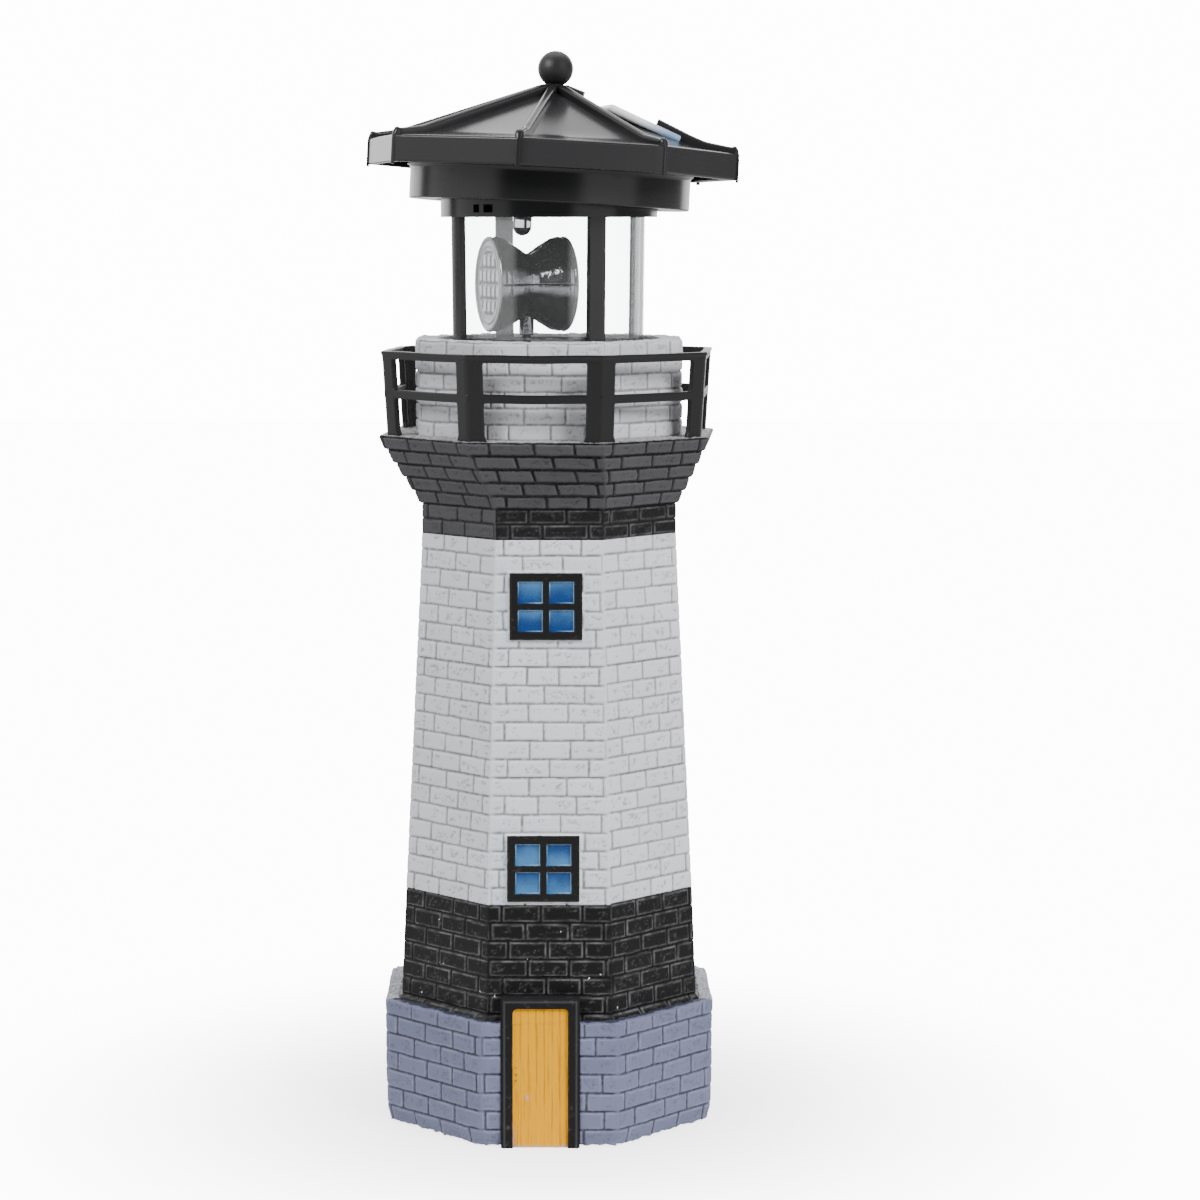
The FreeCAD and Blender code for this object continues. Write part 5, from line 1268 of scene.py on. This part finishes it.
class LIGHTHOUSE_OT_panel(bpy.types.Operator):
    """Solar panel let into the rear right facet"""

    bl_idname = "lighthouse.panel"
    bl_label = "Solar panel"

    def execute(self, context):
        lantern = context.scene.lighthouse_lantern
        skin = Skin()
        slab(skin, PANEL_LENGTH, PANEL_WIDTH, 0.25, panel_face, 1.2)
        slope = math.atan2(29.7 - 17.7, (37.0 - 3.0) * FLAT)
        radial, side = direction(HALF_EIGHTH), direction(HALF_EIGHTH + math.pi / 2)
        place = np.eye(4)
        place[:2, 0] = side
        place[:3, 1] = -np.array([*(radial * math.sin(slope)), math.cos(slope)])
        place[:3, 2] = [*(-radial * math.cos(slope)), math.sin(slope)]
        place[:3, 3] = [*(radial * 21.5), 29.7 - (21.5 - 3.0 * FLAT) * math.tan(slope)]
        finish = solar_cell("solar_cell", tuple(lantern.cell), (0.45, 0.47, 0.5), (0.86, 0.87, 0.88))
        skin.piece("panel", finish, "roof_cap", "solar_glass", "solar_panel", place=ROOF @ place, merge=True)
        return {"FINISHED"}


# ---------------------------------------------------------------- the pieces that CAD shapes


class LIGHTHOUSE_OT_small_parts(bpy.types.Operator):
    """Finishes for the cage, floor plate, gears, motor, cell, board, switch, wires and screws"""

    bl_idname = "lighthouse.small_parts"
    bl_label = "Small parts"

    def execute(self, context):
        lantern = context.scene.lighthouse_lantern
        dark = tuple(lantern.plastic)
        finishes = {
            gloss_black(lantern): ("cage_frame", "roof_shell", "battery_drum", "ball_finial"),
            moulded_plastic("housing_plastic", dark, 0.42): (
                "lantern_floor", "base_plate", "gear_housing", "led_holder", "battery_tray", "board_spacers",
                "switch_slider", "output_gear", "gallery_railing"),
            moulded_plastic("gear_plastic", (0.72, 0.72, 0.68), 0.4, 0.1): (
                "gear_plate", "first_gear", "second_gear"),
            metal("plated_steel", (0.55, 0.56, 0.57), 0.25): (
                "gear_pins", "drive_motor", "motor_screws", "housing_screws", "motor_shaft", "cap_screws",
                "contact_plate", "contact_spring", "board_screws", "switch_body"),
            metal("turned_brass", (0.70, 0.50, 0.20), 0.22): ("shaft_bushing", "motor_pinion"),
            moulded_plastic("cell_wrap", (0.02, 0.23, 0.07), 0.28, 0.1): ("battery_cell",),
            circuit_green("board_green", (0.012, 0.10, 0.035), (0.40, 0.42, 0.38)): ("circuit_board",),
            moulded_plastic("wire_red", (0.35, 0.012, 0.01), 0.4, 0.15): (
                "led_leads", "battery_leads", "panel_leads"),
            bpy.data.materials["clear_plastic"]: ("clear_tube", "beam_lens_left", "beam_lens_right"),
            bpy.data.materials["lamp_plastic"]: ("lamp_led",),
            bpy.data.materials["chrome_plating"]: ("upper_reflector", "lower_reflector"),
            bpy.data.materials["solar_cell"]: ("solar_panel",),
            bpy.data.materials["white_paint"]: ("tower_casting",),
        }
        for finish, names in finishes.items():
            for name in names:
                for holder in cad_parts[name].material_slots:
                    holder.material = finish
        return {"FINISHED"}


# ---------------------------------------------------------------- stage


class LIGHTHOUSE_OT_stage(bpy.types.Operator):
    """Pale floor, soft lights and the camera"""

    bl_idname = "lighthouse.stage"
    bl_label = "Stage"

    def execute(self, context):
        scene = context.scene
        x = np.linspace(-3000, 3000, 61)
        across, along_floor = np.meshgrid(x, x)
        floor = bpy.data.meshes.new("floor")
        top = np.stack([across, along_floor, 0 * across], axis=-1).reshape(-1, 3) * MM
        number = np.arange(len(top)).reshape(across.shape)
        quads = np.stack([number[:-1, :-1], number[:-1, 1:], number[1:, 1:], number[1:, :-1]], axis=-1)
        floor.from_pydata(top.tolist(), [], quads.reshape(-1, 4).tolist())
        obj = bpy.data.objects.new("floor", floor)
        scene.collection.objects.link(obj)
        floor.materials.append(floor_paper("floor_paper"))
        studio_world(scene)
        for name, place, aim, size, power in STUDIO_LIGHTS:
            light = bpy.data.lights.new(name, "AREA")
            light.shape, light.size, light.size_y, light.energy = "RECTANGLE", size[0], size[1], power
            lamp = bpy.data.objects.new(name, light)
            lamp.location = place
            lamp.rotation_euler = (Vector(aim) - Vector(place)).to_track_quat("-Z", "Y").to_euler()
            lamp.visible_glossy = name != "key"
            scene.collection.objects.link(lamp)
        camera = bpy.data.cameras.new("camera")
        camera.lens, camera.sensor_width, camera.shift_x = 94.38, 36.0, 0.0425
        eye = bpy.data.objects.new("camera", camera)
        eye.location = (0.0, -0.851, 0.243)
        eye.rotation_euler = (math.radians(90 - 6.885), 0.0, 0.0)
        scene.collection.objects.link(eye)
        scene.camera = eye
        return {"FINISHED"}


# Name, place, aim, width and depth in metres, and watts.
STUDIO_LIGHTS = (
    ("key", (0.92, -0.88, 1.0), (0, 0, 0.14), (0.7, 0.6), 30.0),
    ("fill", (-0.95, -0.75, 1.0), (0, 0, 0.14), (0.8, 0.6), 16.0),
    ("top", (0.0, 0.35, 1.4), (0, 0, 0.15), (1.2, 1.0), 6.0),
)


def floor_paper(name):
    """White paper with a fine grain. Away from the object it is lit from below, as on a light table, so that
    it runs into the white room; close to the object it keeps most of the soft shadow. The glow that the
    camera sees is stronger than the glow that lights the object."""
    f = Finish(name)
    grain = f.noise(900, 3)
    away = (f.axis(0) ** 2 + f.axis(1) ** 2) ** 0.5
    paper_colour = f.mix((0.86, 0.86, 0.86), (0.9, 0.9, 0.9), grain)
    paper = f.principled(Base_Color=paper_colour, Roughness=grain * 0.1 + 0.8)
    seen = f.add("ShaderNodeLightPath", output="Is Camera Ray")
    glow = f.add("ShaderNodeEmission", inputs=[(1.0, 1.0, 1.0), seen * 13.0 + 0.7])
    return f.surface(f.add("ShaderNodeMixShader", inputs=[away.rise(0.035, 0.20) * 0.8 + 0.2, paper, glow]))


def studio_world(scene):
    """A white room with dark gaps round it, which the gloss shows as stripes: a table of angle round the
    object, in degrees, against brightness. The camera itself sees plain white, and brighter."""
    world = bpy.data.worlds.new("studio")
    world.use_nodes = True
    scene.world = world
    f = Finish("studio", world.node_tree)
    way = f.add("ShaderNodeTexCoord", output="Generated")
    x, y, z = (f.axis(number, way) for number in range(3))
    angle = x.math("ARCTAN2", y * -1.0) / math.pi * 0.5 + 0.5
    stops = [(-180, 1.0), (-133, 1.0), (-129, 0.05), (-119, 0.05), (-115, 0.42), (-46, 0.36), (-38, 0.03),
             (22, 0.03), (30, 0.42), (72, 0.42), (77, 0.10), (138, 0.10), (142, 1.0), (180, 1.0)]
    stops = [((degrees + 180) / 360, (bright,) * 3) for degrees, bright in stops]
    ring = f.add("ShaderNodeValToRGB", {"stops": stops}, [angle])
    ceiling = f.mix((0.35, 0.35, 0.36), (0.04, 0.04, 0.04), y.rise(0.1, -0.35))
    room = f.mix(ring, ceiling, z.rise(0.45, 0.75))
    below = z.rise(-0.05, -0.3)
    room = f.mix(room, (0.3, 0.3, 0.3), below)
    seen = f.add("ShaderNodeLightPath", output="Is Camera Ray")
    light = f.mix(room, (1.0, 1.0, 1.0), seen)
    shine = f.add("ShaderNodeBackground", inputs=[light, seen * 12.0 + 2.4])
    f.add("ShaderNodeOutputWorld", inputs=[shine])


class LIGHTHOUSE_PT_panel(bpy.types.Panel):
    """Lists the settings and the operators that make the lighthouse"""

    bl_idname = "LIGHTHOUSE_PT_panel"
    bl_label = "Lighthouse"
    bl_space_type = "VIEW_3D"
    bl_region_type = "UI"
    bl_category = "Lighthouse"

    def draw(self, context):
        for settings in (context.scene.lighthouse_tower, context.scene.lighthouse_lantern):
            for name in settings.__annotations__:
                self.layout.prop(settings, name)
        for operator in OPERATORS:
            self.layout.operator(operator.bl_idname)


OPERATORS = (
    LIGHTHOUSE_OT_stage,
    LIGHTHOUSE_OT_plinth,
    LIGHTHOUSE_OT_band,
    LIGHTHOUSE_OT_shaft,
    LIGHTHOUSE_OT_corbel,
    LIGHTHOUSE_OT_pedestal,
    LIGHTHOUSE_OT_windows,
    LIGHTHOUSE_OT_door,
    LIGHTHOUSE_OT_railing,
    LIGHTHOUSE_OT_glass,
    LIGHTHOUSE_OT_reflector,
    LIGHTHOUSE_OT_lenses,
    LIGHTHOUSE_OT_drum,
    LIGHTHOUSE_OT_roof,
    LIGHTHOUSE_OT_ribs,
    LIGHTHOUSE_OT_panel,
    LIGHTHOUSE_OT_small_parts,
)
CLASSES = (TowerSettings, LanternSettings, *OPERATORS, LIGHTHOUSE_PT_panel)


def register():
    for kind in CLASSES:
        bpy.utils.register_class(kind)
    bpy.types.Scene.lighthouse_tower = PointerProperty(type=TowerSettings)
    bpy.types.Scene.lighthouse_lantern = PointerProperty(type=LanternSettings)


def unregister():
    del bpy.types.Scene.lighthouse_lantern
    del bpy.types.Scene.lighthouse_tower
    for kind in reversed(CLASSES):
        bpy.utils.unregister_class(kind)


def main():
    register()
    for operator in OPERATORS:
        group, name = operator.bl_idname.split(".")
        getattr(getattr(bpy.ops, group), name)()


if __name__ == "__main__":
    main()
